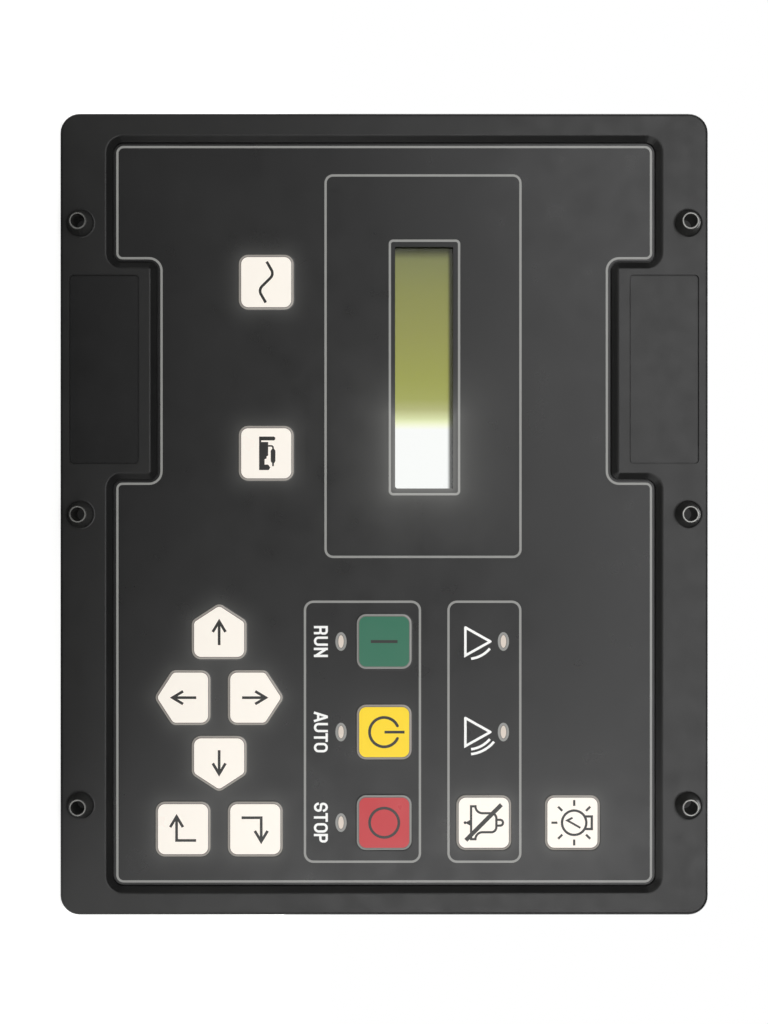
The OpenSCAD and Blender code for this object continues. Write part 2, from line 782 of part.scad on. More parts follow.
module header_pin_block() {
    color([0.14, 0.14, 0.15]) difference() {
        union() {
            slab(block_y, block_face_y) translate([0, header_z])
                rounded_rect(socket_w - 2 * snug, socket_h - 2 * snug, header_r - shroud_wall);
            rod([0, header_z], block_face_y - 1, pin_tip_y, jack_post_r);
        }
        for (p = PINS) rod(p, block_y - 1, block_face_y + 1, pin_d / 2 + snug);
        rod([0, header_z], block_y - 1, pin_tip_y + 1, jack_d / 2 + jack_wall + snug);
    }
}

module header_pins() {
    color([0.8, 0.7, 0.4]) for (p = PINS) rod(p, board_back_y, pin_tip_y, pin_d / 2);
}

module jackscrew_insert() {
    color([0.75, 0.6, 0.3]) difference() {
        rod([0, header_z], block_y, pin_tip_y, jack_d / 2 + jack_wall);
        rod([0, header_z], block_y - 1, pin_tip_y + 1, jack_d / 2);
    }
}

module header_screws() {
    color([0.72, 0.72, 0.7]) for (p = HEADER_SCREWS) union() {
        rod(p, cover_inner_y - 2, block_face_y + 0.2, board_screw_r);
        rod(p, block_face_y, block_face_y + board_head_h, board_head_r);
    }
}

module breather_vent() {
    color([0.1, 0.1, 0.1]) turned([vent_x, header_z], cover_back_y, [
        [1.5, -2.6], [5.6, -2.6], [vent_r - 0.3, -2], [vent_r, -0.4], [vent_r, 0],
        [vent_stem_r, 0], [vent_stem_r, wall + 2], [1.5, wall + 2]]);
}

front_bezel();
mounting_sleeves();
flange_gasket();
lower_label();
graphic_overlay();
dome_spacer();
snap_domes();
key_circuit();
key_lamps();
status_lamps();
display_window();
display_frame();
display_glass();
display_light();
display_board();
display_screws();
display_ribbon();
main_board();
board_screws();
processor_chip();
driver_chips();
relays();
capacitors();
power_inductor();
board_sockets();
threaded_inserts();
cover_gasket();
rear_cover();
cover_screws();
header_shell();
header_seal();
header_pin_block();
header_pins();
jackscrew_insert();
header_screws();
breather_vent();
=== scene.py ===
"""Finish, printed keypad, small fasteners and studio of a panel-mounted engine control module.

The frame holds the module's construction in metres: +X to the panel's right, +Z up, and the
face toward -Y. Flat artwork is laid out here in millimetres, as (x, z) seen from the front.
"""

import json
import math

import bpy
import numpy as np
from mathutils import Matrix, Vector
from mathutils.geometry import delaunay_2d_cdt


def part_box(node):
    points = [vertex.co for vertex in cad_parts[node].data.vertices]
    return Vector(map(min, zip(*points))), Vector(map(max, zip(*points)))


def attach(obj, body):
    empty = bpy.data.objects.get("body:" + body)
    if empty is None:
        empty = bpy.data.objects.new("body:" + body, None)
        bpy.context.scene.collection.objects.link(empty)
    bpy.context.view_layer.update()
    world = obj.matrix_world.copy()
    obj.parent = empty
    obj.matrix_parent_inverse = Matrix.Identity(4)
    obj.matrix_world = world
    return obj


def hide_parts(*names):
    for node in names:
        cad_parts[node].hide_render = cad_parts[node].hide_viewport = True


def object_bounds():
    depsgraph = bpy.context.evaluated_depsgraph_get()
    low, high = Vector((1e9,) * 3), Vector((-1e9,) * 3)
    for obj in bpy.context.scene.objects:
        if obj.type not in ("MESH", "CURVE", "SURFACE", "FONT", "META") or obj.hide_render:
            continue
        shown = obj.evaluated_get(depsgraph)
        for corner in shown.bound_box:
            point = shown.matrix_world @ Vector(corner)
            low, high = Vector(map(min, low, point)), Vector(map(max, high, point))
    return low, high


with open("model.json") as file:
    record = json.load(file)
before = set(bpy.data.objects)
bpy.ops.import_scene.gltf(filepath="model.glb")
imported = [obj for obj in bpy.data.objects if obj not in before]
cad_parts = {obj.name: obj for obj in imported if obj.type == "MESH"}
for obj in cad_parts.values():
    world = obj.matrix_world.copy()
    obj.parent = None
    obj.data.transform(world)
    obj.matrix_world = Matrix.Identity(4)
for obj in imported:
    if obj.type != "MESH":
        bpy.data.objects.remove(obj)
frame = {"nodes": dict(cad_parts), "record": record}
CAD_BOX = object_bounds()

bl_info = {
    "name": "Engine control module finish",
    "version": (1, 0, 0),
    "blender": (4, 5, 0),
    "location": "3D View > Sidebar > Module",
    "description": "Dresses the module with its printed film, fasteners, finishes and studio",
    "category": "Object",
}

MM = 0.001
# The flange's face, in metres along Y
FACE_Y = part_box("lower_label")[0].y


def linear(code):
    """The linear colour of an sRGB hex code."""
    levels = [int(code[i:i + 2], 16) / 255 for i in (1, 3, 5)]
    return tuple(v / 12.92 if v <= 0.04045 else ((v + 0.055) / 1.055) ** 2.4 for v in levels)


def length(name, description, value):
    """A length property whose default is given in millimetres."""
    return bpy.props.FloatProperty(name=name, description=description, default=value * MM,
                                   min=0, unit="LENGTH", precision=5)


def power(name, description, value):
    """A lamp's power, in watts."""
    return bpy.props.FloatProperty(name=name, description=description, default=value, min=0,
                                   unit="POWER")


def colour(name, description, code):
    """A colour property whose default is an sRGB hex code."""
    return bpy.props.FloatVectorProperty(name=name, description=description, size=3, min=0,
                                         max=1, subtype="COLOR", default=linear(code))


class KeypadSizes(bpy.types.PropertyGroup):
    """Sizes of the printed and embossed keypad film."""
    key_side: length("Key side", "Side of an embossed key", 17)
    key_corner: length("Key corner", "Corner radius of a key", 2.9)
    point_length: length("Point length", "From a pointed key's shoulder to its tip", 6.3)
    point_corner: length("Point corner", "Radius of the shoulders and tip", 2.2)
    rim_band: length("Key rim", "Width of the grey band round a key", 0.74)
    # The dark line inside a key's band is painted shade along the emboss
    shade_line_width: length("Key seam", "Width of the dark line between the band and the key", 0.24)
    skirt_run: length("Emboss run", "How far the emboss spreads outside a key", 0.45)
    border_line: length("Border line", "Width of the line along the film's edge", 0.7)
    group_line: length("Group line", "Width of the lines round a group", 0.72)
    letter_height: length("Letter height", "Height of the printed capitals", 4.35)
    letter_line: length("Letter line", "Stroke of the printed capitals", 0.74)
    symbol_line: length("Symbol line", "Stroke of the key symbols", 0.84)
    # The glow round a lit key is painted light in the film
    glow_reach: length("Glow reach", "Distance over which a key's glow fades to a third", 2.8)


class KeypadColours(bpy.types.PropertyGroup):
    """Inks printed behind the keypad film."""
    ground: colour("Ground", "Ink behind most of the film", "#121213")
    line: colour("Line", "Ink of the border and group lines", "#92928F")
    rim: colour("Key rim", "Ink of the band round a key", "#9A948D")
    # The darker ink is painted shade inside each key's band; round the lamp windows it is a darker
    # ring inside the line
    seam: colour("Key seam", "Ink of the thin line inside that band", "#716C68")
    key: colour("Key", "Ink of the plain keys", "#FFF8EE")
    run: colour("Run key", "Ink of the run key", "#2A7056")
    auto: colour("Auto key", "Ink of the automatic key", "#FFDA08")
    stop: colour("Stop key", "Ink of the stop key", "#C52F36")
    symbol: colour("Symbol", "Ink of the key symbols", "#2A2A28")
    letter: colour("Letter", "Ink of the words and warning triangles", "#F6F6F4")
    lamp: colour("Lamp window", "Tinted window over a status lamp", "#DDD0C4")
    # The glow is painted light round the lit keys and the display
    glow: colour("Glow", "Light that leaks into the film round a lit key", "#FBFBF6")


class StudioSettings(bpy.types.PropertyGroup):
    """Camera and light of the studio."""
    distance: length("Camera distance", "From the camera to the flange's face", 600)
    view_height: length("View height", "Height of the view at the flange's face", 316.85)
    above_power: power("Front light above", "Power of the softbox in front and above", 2.95)
    right_power: power("Front light right", "Power of the softbox in front and to the right", 1.5)
    side_power: power("Side lights", "Power of each softbox beside the housing", 5.0)
    top_power: power("Top light", "Power of the softbox over the housing", 7.0)
    back_power: power("Back light", "Power of the rear softbox", 10.0)


# Flat artwork


def turn_left(v):
    """The direction a quarter turn anticlockwise from v."""
    return Vector((-v.y, v.x))


def rounded(corners, grow=0.0, closed=True):
    """Points along an anticlockwise line of (x, z, radius) corners, grown outward by grow."""
    steps = 8
    points = []
    last = len(corners) - 1
    for i, (x, z, radius) in enumerate(corners):
        here = Vector((x, z))
        if not closed and i in (0, last):
            points.append(here)
            continue
        into = (here - Vector(corners[i - 1][:2])).normalized()
        out = (Vector(corners[(i + 1) % len(corners)][:2]) - here).normalized()
        turn = math.atan2(into.x * out.y - into.y * out.x, into.dot(out))
        side = 1 if turn > 0 else -1
        normal = -turn_left(into)
        both = normal - turn_left(out)
        centre = here - side * radius * both / (1 + normal.dot(-turn_left(out)))
        reach = max(radius + side * grow, 0.05)
        for k in range(steps + 1):
            points.append(centre + side * reach * (Matrix.Rotation(turn * k / steps, 2) @ normal))
    return points


def rectangle(x0, x1, z0, z1, radius):
    """The corners of a rectangle, all of one radius."""
    return [(x0, z0, radius), (x1, z0, radius), (x1, z1, radius), (x0, z1, radius)]


def soft_line(points, radius):
    """An open line whose corners are rounded to one radius."""
    return rounded([(x, z, radius) for x, z in points], closed=False)


def arc(x, z, radius, start, end, steps=24, squeeze=1.0):
    """Points round (x, z) from one angle to another, in degrees from +x toward +z."""
    angles = [math.radians(start + (end - start) * k / steps) for k in range(steps + 1)]
    return [Vector((x + radius * math.cos(a), z + squeeze * radius * math.sin(a))) for a in angles]


def disc(x, z, radius, steps=24, squeeze=1.0):
    """A closed loop round (x, z)."""
    return arc(x, z, radius, 0, 360, steps, squeeze)[:-1]


def stroke(points, width, closed=False, cap=0.0):
    """Quads along a line at one width, mitred at its corners and longer by cap at its ends."""
    line = [Vector(p) for p in points]
    if cap:
        line[0] = line[0] + (line[0] - line[1]).normalized() * cap
        line[-1] = line[-1] + (line[-1] - line[-2]).normalized() * cap
    count = len(line)
    edges = []
    for i, here in enumerate(line):
        into = here - line[i - 1]
        out = line[(i + 1) % count] - here
        if not closed and i == 0:
            into = out
        if not closed and i == count - 1:
            out = into
        a = turn_left(into.normalized())
        b = turn_left(out.normalized())
        mitre = (a + b) / (1 + a.dot(b)) * width / 2
        edges.append((here + mitre, here - mitre))
    quads = []
    for i in range(count if closed else count - 1):
        quad = [*edges[i], *edges[(i + 1) % count]]
        middle = sum(quad, Vector((0, 0))) / 4
        # Sorted round its middle, a quad stays simple where a tight bend crosses its inner side
        quads.append(sorted(quad, key=lambda p: math.atan2(p.y - middle.y, p.x - middle.x)))
    return quads


def placed(polygons, x, z, angle=0.0):
    """Polygons turned by an angle in degrees and moved to (x, z)."""
    turned = Matrix.Rotation(math.radians(angle), 2)
    return [[turned @ Vector(p) + Vector((x, z)) for p in polygon] for polygon in polygons]


def arrow(width, tail=4.1, tip=-4.1):
    """An open-headed arrow that points toward -x."""
    wing = 3.3
    spread = 1.98
    slope = math.atan2(spread, wing)
    point = tip + width / 2 / math.sin(slope)
    return (stroke([(tail, 0), (point, 0)], width)
            + stroke([(point + wing, spread), (point, 0), (point + wing, -spread)], width))


def bent_arrow(width, start, corner, tip):
    """An arrow that starts across its own direction and points along x."""
    way = -1 if tip[0] < corner[0] else 1
    head = 3.0
    return (stroke([start, corner, (tip[0] - way, tip[1])], width)
            + placed(arrow(width, tail=0.0, tip=-head), tip[0] - way * head, tip[1],
                     0 if way < 0 else 180))


def wave_symbol(width):
    """One period of alternating current."""
    return stroke(soft_line([(-6.35, 0.15), (-2.4, 2.4), (2.4, -2.4), (6.35, -0.15)], 2.0), width)


def engine_symbol(width):
    """A generator set from the side: radiator, engine, exhaust and silencer."""
    body = [(-5.2, -2.2), (5.2, -2.2), (5.2, 0.8), (4.4, 1.25), (3.5, 0.6), (3.5, -0.5),
            (1.85, -0.5), (1.6, 0.1), (0.95, 0.1), (0.7, 0.6), (-3.5, 0.6), (-3.5, -1.55),
            (-4.0, -1.55), (-4.0, 2.4), (-4.3, 2.8), (-4.9, 2.8), (-5.2, 2.4)]
    silencer = [(-1.5, 1.9), (-0.8, 1.4), (2.4, 1.4), (3.15, 1.85), (3.15, 2.4),
                (2.4, 2.85), (-0.8, 2.85), (-1.5, 2.35)]
    pipe = soft_line([(-2.3, 0.4), (-2.3, 2.12), (-1.3, 2.12)], 0.6)
    tail = [(3.0, 2.12), (4.0, 2.12)]
    return [body, silencer] + stroke(pipe, 0.52) + stroke(tail, 0.55)


def run_symbol(width):
    """A bar."""
    return stroke([(0, -4.15), (0, 4.15)], width + 0.08)


RING_RADIUS = 4.55


def auto_symbol(width):
    """A ring that opens upward round a bar."""
    gap = 25
    ring = arc(0, 0, RING_RADIUS, 90 + gap, 450 - gap, 40)
    ends = [disc(p.x, p.y, width / 2 + 0.01, 12) for p in (ring[0], ring[-1])]
    return stroke(ring, width + 0.04) + ends + stroke([(0, 0.1), (0, 6.3)], width)


def stop_symbol(width):
    """A ring."""
    return stroke(disc(0, 0, RING_RADIUS, 40), width, closed=True)


def silence_symbol(width):
    """A bell crossed out by a bar."""
    line = width * 0.84
    half = 5.1
    side = 2.95
    mouth = -3.95
    shoulder = 3.9
    flare = arc(-half, -0.45, half - side, -90, 0, 8)
    dome = soft_line([flare[-1], (-side, shoulder), (side, shoulder), (side, -0.45)], 1.6)
    mirrored = [(-p.x, p.y) for p in reversed(flare)]
    outline = [(-half, mouth)] + flare[:-1] + dome[:-1] + mirrored + [(half, mouth)]
    loop = [(-0.9, shoulder)] + arc(0, 5.05, 0.9, 180, 0, 12) + [(0.9, shoulder)]
    clapper = [(-1.15, mouth + 0.2), (0, mouth - 1.9), (1.15, mouth + 0.2)]
    return (stroke(outline, line, closed=True) + stroke(loop, line)
            + [clapper, disc(0, -5.8, 0.46, 12)] + stroke([(5.45, -5.6), (-5.6, 5.45)], 1.3))


def lamp_test_symbol(width):
    """A shining bulb with its cap upward."""
    line = width * 0.88
    middle = 0.53
    rays = []
    for angle in (0, 45, 135, 180, 225, 270, 315):
        across = Vector((math.cos(math.radians(angle)), math.sin(math.radians(angle))))
        centre = Vector((0, middle))
        rays += stroke([centre + across * 5.2, centre + across * 7.05], line * 0.95)
    cap = [(-1.95, 3.7), (-1.95, 6.0), (1.95, 6.0), (1.95, 3.7)]
    filament = [(-1.55, 0.03), (-0.7, -1.6), (1.58, 2.47)]
    return (stroke(disc(0, middle, 3.78, 40), line, closed=True) + stroke(cap, line)
            + stroke(filament, line * 0.85) + rays)


def escape_symbol(width):
    """An arrow that comes down and leaves to the left."""
    return bent_arrow(width, (3.5, 4.05), (3.5, -2.0), (-4.75, -2.0))


def enter_symbol(width):
    """An arrow that goes up and leaves to the right."""
    return bent_arrow(width, (-3.55, -4.25), (-3.55, 1.85), (4.65, 1.85))


# Every key in order from left to right, then upward: its symbol, its ink, and for a pointed
# key the angle that the point faces
KEYS = [
    (wave_symbol, "key", None), (engine_symbol, "key", None), (arrow, "key", 180),
    (run_symbol, "run", None), (arrow, "key", -90), (arrow, "key", 90),
    (auto_symbol, "auto", None), (arrow, "key", 0), (stop_symbol, "stop", None),
    (silence_symbol, "key", None), (lamp_test_symbol, "key", None),
    (escape_symbol, "key", None), (enter_symbol, "key", None)]
# The words, each with the gap between its letters, and the widths of the letters
WORDS = {"RUN": 0.58, "AUTO": 0.27, "STOP": 0.38}
LETTER_WIDTHS = {"R": 2.71, "U": 2.9, "N": 2.9, "A": 3.2, "T": 2.75, "O": 2.95, "S": 2.85,
                 "P": 2.7}
WORD_Z = -19.65
# Groups of keys and lamps that a line frames: left, right, bottom, top and corner radius
DISPLAY_GROUP = (-105.5, 13.6, -18.55, 42.65, 2.7)
RUN_GROUP = (26.8, 108.2, -24.95, 11.45, 3.0)
ALARM_GROUP = (26.8, 108.2, 19.6, 42.6, 3.0)
DISPLAY_LINE = (-85.25, -5.85, 1.4, 23.6, 1.4)
# The notches of the film, as its recess has them
NOTCH_LEFT = -78.5
NOTCH_RIGHT = -10.4
NOTCH_DEPTH = 13.7
FILM_CORNER = 2.9
NOTCH_MOUTH = 2.5
BORDER_INSET = 0.95
# The flat film's thickness over its spacer, and how far it laps over the lens
FILM_THICKNESS = 0.6
LENS_LAP = 3.0
LENS_CORNER = 0.25
# A lamp window's line, seam and pane: the radius of each, and its height as a share of its width
LAMP_LINE = (2.9, 0.6)
LAMP_SEAM = (2.15, 0.48)
LAMP_PANE = (1.97, 0.43)
# From an alarm lamp down to the foot of its warning triangle
TRIANGLE_DROP = 11.8
# Every ink of the film. Where light comes through one, its level; the rest take the mesh's painted
# glow
INKS = ("ground", "line", "rim", "seam", "key", "run", "auto", "stop", "symbol", "letter", "lamp")
BACKLIGHT = {"key": 0.065, "run": 0, "auto": 0.02, "stop": 0, "symbol": 0, "letter": 0.05,
             "lamp": 0}
# The mesh attribute that holds the painted glow in the film
GLOW = "glow"
# The painted glow's level at a lit key's edge, by the key's ink, and the steps of mesh round the
# key.
# The other keys are dark, and the plain line ink rings them
KEY_GLOW = {"key": 0.036, "auto": 0.011}
GLOW_STEPS = (0.9, 1.6, 2.5, 3.6, 5.0, 7.0)
# The display's washed-out end, the painted glow it spreads over the film as (level, reach) rows,
# and the steps of mesh round it
LIT_END = (-30.0, -8.5, 3.7, 20.4, 0.5)
LIT_GLOW = ((0.1, 1.1), (0.085, 4.5), (0.034, 16.0))
LIT_STEPS = (0.6, 1.2, 2.0, 3.6, 5.0, 7.0, 10.0, 14.0, 20.0, 28.0, 40.0)


def letter(name, w, h, line):
    """Strokes of one capital in a box of w by h."""
    w = w - line
    h = h - line
    mid = h * 0.46
    bowl = soft_line([(0, h), (w, h), (w, mid), (0, mid)], 0.75)
    stem = [(0, 0), (0, h)]
    lines = {
        "R": [stem, bowl, soft_line([(w * 0.4, mid), (w * 0.95, mid), (w * 0.95, 0)], 0.6)],
        "U": [soft_line([(0, h), (0, 0), (w, 0), (w, h)], w / 2 - 0.02)],
        "N": [stem, [(0.08, h * 0.93), (w - 0.08, h * 0.07)], [(w, 0), (w, h)]],
        "A": [[(0, 0), (w / 2 - 0.1, h), (w / 2 + 0.1, h), (w, 0)],
              [(w * 0.24, h * 0.27), (w * 0.76, h * 0.27)]],
        "T": [[(0, h), (w, h)], [(w / 2, 0), (w / 2, h)]],
        "S": [arc(w / 2, h - w / 2, w / 2, 12, 216, 16) + arc(w / 2, w / 2, w / 2, 36, -168, 16)],
        "P": [stem, bowl]}
    if name == "O":
        return stroke(rounded(rectangle(0, w, 0, h, w / 2 - 0.02)), line, closed=True)
    return [quad for points in lines[name] for quad in stroke(points, line, cap=line / 2)]


def word(text, gap, x, z, height, line):
    """A word centred on (x, z)."""
    wide = sum(LETTER_WIDTHS[c] for c in text) + gap * (len(text) - 1)
    at = x - wide / 2 + line / 2
    quads = []
    for c in text:
        quads += placed(letter(c, LETTER_WIDTHS[c], height, line), at, z - height / 2 + line / 2)
        at += LETTER_WIDTHS[c] + gap
    return quads


def warning(x, z, arcs):
    """A triangle with one or two arcs that ring beside it."""
    line = 0.77
    corners = [(-4.35, 0), (4.35, 0), (0, 7.75)]
    polygons = stroke(corners, line) + stroke([corners[2], corners[0]], line)
    polygons += [disc(cx, cz, line / 2, 12) for cx, cz in corners]
    for i in range(arcs):
        # The second arc is 1.5 mm farther out and a little shorter
        polygons += stroke(arc(-3.6, 0.7, 9 + 1.5 * i, 6.8 - i, 50 + i, 16), line)
    return placed(polygons, x, z)


# Meshes


def anticlockwise(polygon):
    """The polygon, turned round if it runs clockwise."""
    area = sum(a.x * b.y - b.x * a.y for a, b in zip(polygon, polygon[1:] + polygon[:1]))
    return polygon if area > 0 else polygon[::-1]


def cut_flat(layers):
    """Cuts a plane along the polygons of each layer.

    Returns the points and (triangle, layer) pairs, where the layer is the topmost one there.
    """
    points = []
    faces = []
    owners = []
    for level, polygons in enumerate(layers):
        for polygon in polygons:
            ring = anticlockwise([Vector(p) for p in polygon])
            faces.append(list(range(len(points), len(points) + len(ring))))
            points += ring
            owners.append(level)
    # Kind 1 keeps only what lies inside the polygons, and nearer points than this are joined
    near = 1e-5
    made = delaunay_2d_cdt(points, [], faces, 1, near, True)
    return made[0], [(face, max(owners[i] for i in origins))
                     for face, origins in zip(made[2], made[5]) if origins]


class Sheet:
    """Collects the faces of one mesh, with points in millimetres."""

    def __init__(self):
        self.points = []
        self.faces = []
        self.slots = []
        self.smooth = []

    def face(self, points, slot=0, smooth=False):
        """Adds one face with the number of its material."""
        start = len(self.points)
        self.points += points
        self.faces.append(list(range(start, start + len(points))))
        self.slots.append(slot)
        self.smooth.append(smooth)

    def flat(self, layers, y, slots, away=False):
        """Flat faces at height y; a layer whose slot is None is left open."""
        points, triangles = cut_flat(layers)
        for triangle, level in triangles:
            if slots[level] is not None:
                corners = [(points[i].x, y, points[i].y) for i in triangle]
                self.face(corners[::-1] if away else corners, slots[level])

    def rings(self, loops, slots=None, smooth=True):
        """Quads between successive closed loops of as many points each."""
        for j, (a, b) in enumerate(zip(loops, loops[1:])):
            for i in range(len(a)):
                k = (i + 1) % len(a)
                self.face([a[i], a[k], b[k], b[i]], slots[j] if slots else 0, smooth)

    def build(self, name, materials):
        """Makes the object, in metres, with near points merged."""
        merge = 0.002
        mesh = bpy.data.meshes.new(name)
        near = {}
        kept = []
        index = []
        for p in self.points:
            key = tuple(round(v / merge) for v in p)
            if key not in near:
                near[key] = len(kept)
                kept.append(Vector(p) * MM)
            index.append(near[key])
        faces = []
        for face, slot, smooth in zip(self.faces, self.slots, self.smooth):
            corners = [index[i] for i in face]
            corners = [c for i, c in enumerate(corners) if c != corners[i - 1]]
            if len(set(corners)) > 2:
                faces.append((corners, slot, smooth))
        mesh.from_pydata(kept, [], [f[0] for f in faces])
        mesh.polygons.foreach_set("material_index", [f[1] for f in faces])
        mesh.polygons.foreach_set("use_smooth", [f[2] for f in faces])
        for material in materials:
            mesh.materials.append(material)
        mesh.validate()
        mesh.update()
        return linked(name, mesh)


def solids(node):
    """The (low, high) corners in millimetres of each solid in a node, left to right and upward."""
    mesh = frame["nodes"][node].data
    parent = {}

    def root(key):
        while parent.setdefault(key, key) != key:
            key = parent[key]
        return key

    keys = [tuple(round(v / MM, 2) for v in vertex.co) for vertex in mesh.vertices]
    for polygon in mesh.polygons:
        first = root(keys[polygon.vertices[0]])
        for i in polygon.vertices[1:]:
            parent[root(keys[i])] = first
    groups = {}
    for key in set(keys):
        groups.setdefault(root(key), []).append(key)
    boxes = [(Vector([min(v) for v in zip(*g)]), Vector([max(v) for v in zip(*g)]))
             for g in groups.values()]
    return sorted(boxes, key=lambda box: (round(box[0].x), round(box[0].z)))


def centre_of(box):
    """The middle of a box, as (x, z)."""
    middle = (box[0] + box[1]) / 2
    return middle.x, middle.z


def node_box(node):
    """A node's lowest and highest corners in millimetres."""
    low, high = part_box(node)
    return low / MM, high / MM


def turned_loop(x, z, y, radius, sides, hexagon=False):
    """A loop round an axis along Y: a circle, or a hexagon of that inner radius."""
    loop = []
    for k in range(sides):
        a = 2 * math.pi * k / sides
        r = radius
        if hexagon:
            r = radius / math.cos((a + math.pi / 6) % (math.pi / 3) - math.pi / 6)
        loop.append((x + r * math.cos(a), y, z + r * math.sin(a)))
    return loop


# The radius, in millimetres, at which a turned form closes on its axis
POINT = 0.02


def turned_piece(sheet, x, z, profile, sides=24):
    """A closed turned form from (y, radius) rows, front to rear; a third value makes a hexagon."""
    loops = [turned_loop(x, z, *row[:2], sides, len(row) > 2) for row in profile]
    sheet.rings([loop[::-1] for loop in loops])


def linked(name, data):
    """A new object of this data, linked to the scene."""
    made = bpy.data.objects.new(name, data)
    bpy.context.scene.collection.objects.link(made)
    return made


def finish_piece(piece, slot, *replaced):
    """Puts a made piece on the frame."""
    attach(piece, "root")
    if replaced:
        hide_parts(*replaced)


# Materials


def add(tree, kind, sockets, **settings):
    """Adds a node; a socket takes a value or another node's output."""
    made = tree.nodes.new("ShaderNode" + kind)
    for name, value in settings.items():
        setattr(made, name, value)
    for key, value in sockets.items():
        if isinstance(value, bpy.types.NodeSocket):
            tree.links.new(value, made.inputs[key])
        else:
            made.inputs[key].default_value = value
    return made


def surface(name, rgb, roughness, sockets=None):
    """A material with a principled shader: returns the material, its tree and the shader."""
    material = bpy.data.materials.new(name)
    material.use_nodes = True
    tree = material.node_tree
    shader = tree.nodes["Principled BSDF"]
    shader.inputs["Base Color"].default_value = (*rgb, 1)
    shader.inputs["Roughness"].default_value = roughness
    for key, value in (sockets or {}).items():
        shader.inputs[key].default_value = value
    return material, tree, shader


def place(tree, stretch=(1, 1, 1)):
    """Object coordinates in metres, stretched along the axes."""
    coordinates = add(tree, "TexCoord", {})
    return add(tree, "Mapping", {"Vector": coordinates.outputs["Object"],
                                 "Scale": stretch}).outputs["Vector"]


def grain(tree, size, detail=2.0, stretch=(1, 1, 1)):
    """Noise whose spots are about size millimetres across."""
    return add(tree, "TexNoise", {"Vector": place(tree, stretch), "Scale": 1 / (size * MM),
                                  "Detail": detail}).outputs["Fac"]


def wave_scale(pitch):
    """The scale at which a wave texture's bands along an axis lie pitch millimetres apart."""
    return math.pi / 10 / (pitch * MM)


def along(tree, axis, start, end, low=0.0, high=1.0, **settings):
    """A level that goes from low to high between two places along an axis, in millimetres."""
    axes = add(tree, "SeparateXYZ", {"Vector": place(tree)})
    return add(tree, "MapRange", {"Value": axes.outputs[axis], "From Min": start * MM,
                                  "From Max": end * MM, "To Min": low, "To Max": high},
               **settings).outputs["Result"]


def spread(tree, value, low, high):
    """A 0.3 to 0.7 pattern spread from low to high."""
    return add(tree, "MapRange", {"Value": value, "From Min": 0.3, "From Max": 0.7,
                                  "To Min": low, "To Max": high}).outputs["Result"]


def dented(tree, shader, height, depth):
    """Bump of a depth in millimetres."""
    bump = add(tree, "Bump", {"Height": height, "Distance": depth * MM, "Strength": 1.0})
    tree.links.new(bump.outputs["Normal"], shader.inputs["Normal"])


def tinted(tree, shader, value, dark, light):
    """Base colour between two hex codes, by a 0.3 to 0.7 pattern."""
    mix = add(tree, "Mix", {0: spread(tree, value, 0, 1), 6: (*linear(dark), 1),
                            7: (*linear(light), 1)}, data_type="RGBA")
    tree.links.new(mix.outputs[2], shader.inputs["Base Color"])


def rough_spread(tree, shader, value, low, high):
    """Roughness from low to high, by a 0.3 to 0.7 pattern."""
    tree.links.new(spread(tree, value, low, high), shader.inputs["Roughness"])


def moulded(name, dark, light, low, high, pit, depth):
    """A moulded skin: pits of one size and depth, and faint clouds of shade and sheen."""
    shade_cloud = 12
    sheen_cloud = 7
    material, tree, shader = surface(name, linear(dark), low)
    tinted(tree, shader, grain(tree, shade_cloud, 3), dark, light)
    rough_spread(tree, shader, grain(tree, sheen_cloud, 3), low, high)
    dented(tree, shader, grain(tree, pit, 3), depth)
    return material


def plated(name, dark, light, low, high, scratch, stretch=(1, 1, 1)):
    """A metal with fine marks of one size that run along an axis."""
    shade_cloud = 3
    mark_depth = 0.01
    material, tree, shader = surface(name, linear(light), low, {"Metallic": 1.0})
    tinted(tree, shader, grain(tree, shade_cloud), dark, light)
    rough_spread(tree, shader, grain(tree, scratch, 3, stretch), low, high)
    dented(tree, shader, grain(tree, scratch, stretch=stretch), mark_depth)
    return material


def spark_textured_pbt():
    # Glass-filled PBT moulded on a spark-eroded tool: fine pits spread each light into satin
    material = moulded("spark_textured_pbt_black", "#151515", "#191919", 0.32, 0.4, 0.55, 0.012)
    # Painted light: the bosses, which stand proud of the face, are painted a little paler than the
    # face round them
    tree = material.node_tree
    shader = tree.nodes["Principled BSDF"]
    face = FACE_Y / MM
    boss_painted_light = along(tree, "Y", face - 0.2, face - 1.5)
    mix = add(tree, "Mix", {0: boss_painted_light, 7: (*linear("#2B2B2A"), 1),
                            6: shader.inputs["Base Color"].links[0].from_socket},
              data_type="RGBA")
    tree.links.new(mix.outputs[2], shader.inputs["Base Color"])
    return material


def turned_steel():
    # Free-cutting steel, turned and zinc plated: a pale grey edge with fine rings
    return plated("turned_steel_zinc_plated", "#80807E", "#9E9E9B", 0.36, 0.5, 0.3)


def closed_cell_foam():
    # Die-cut EPDM foam: dull, with open pores along its cut
    material, tree, shader = surface("die_cut_epdm_foam", linear("#161616"), 0.9)
    pores = add(tree, "TexVoronoi", {"Vector": place(tree), "Scale": 1 / (0.7 * MM)})
    dented(tree, shader, pores.outputs["Distance"], 0.12)
    tinted(tree, shader, grain(tree, 2), "#101010", "#1D1D1D")
    return material


def gloss_label():
    # Polyester label with a gloss varnish: darker and cleaner than the moulding round it
    return moulded("varnished_polyester_label", "#111112", "#161617", 0.2, 0.27, 1.6, 0.003)


def spacer_film():
    # Polyester spacer coated with adhesive: milky and even
    return moulded("adhesive_coated_polyester", "#C9C9C2", "#D6D6CF", 0.5, 0.6, 0.8, 0.005)


def dome_steel():
    # Stainless spring strip, stamped: bright, with rolling marks along it
    return plated("stamped_stainless_strip", "#C2C2BE", "#DADAD6", 0.16, 0.3, 0.25, (1, 1, 12))


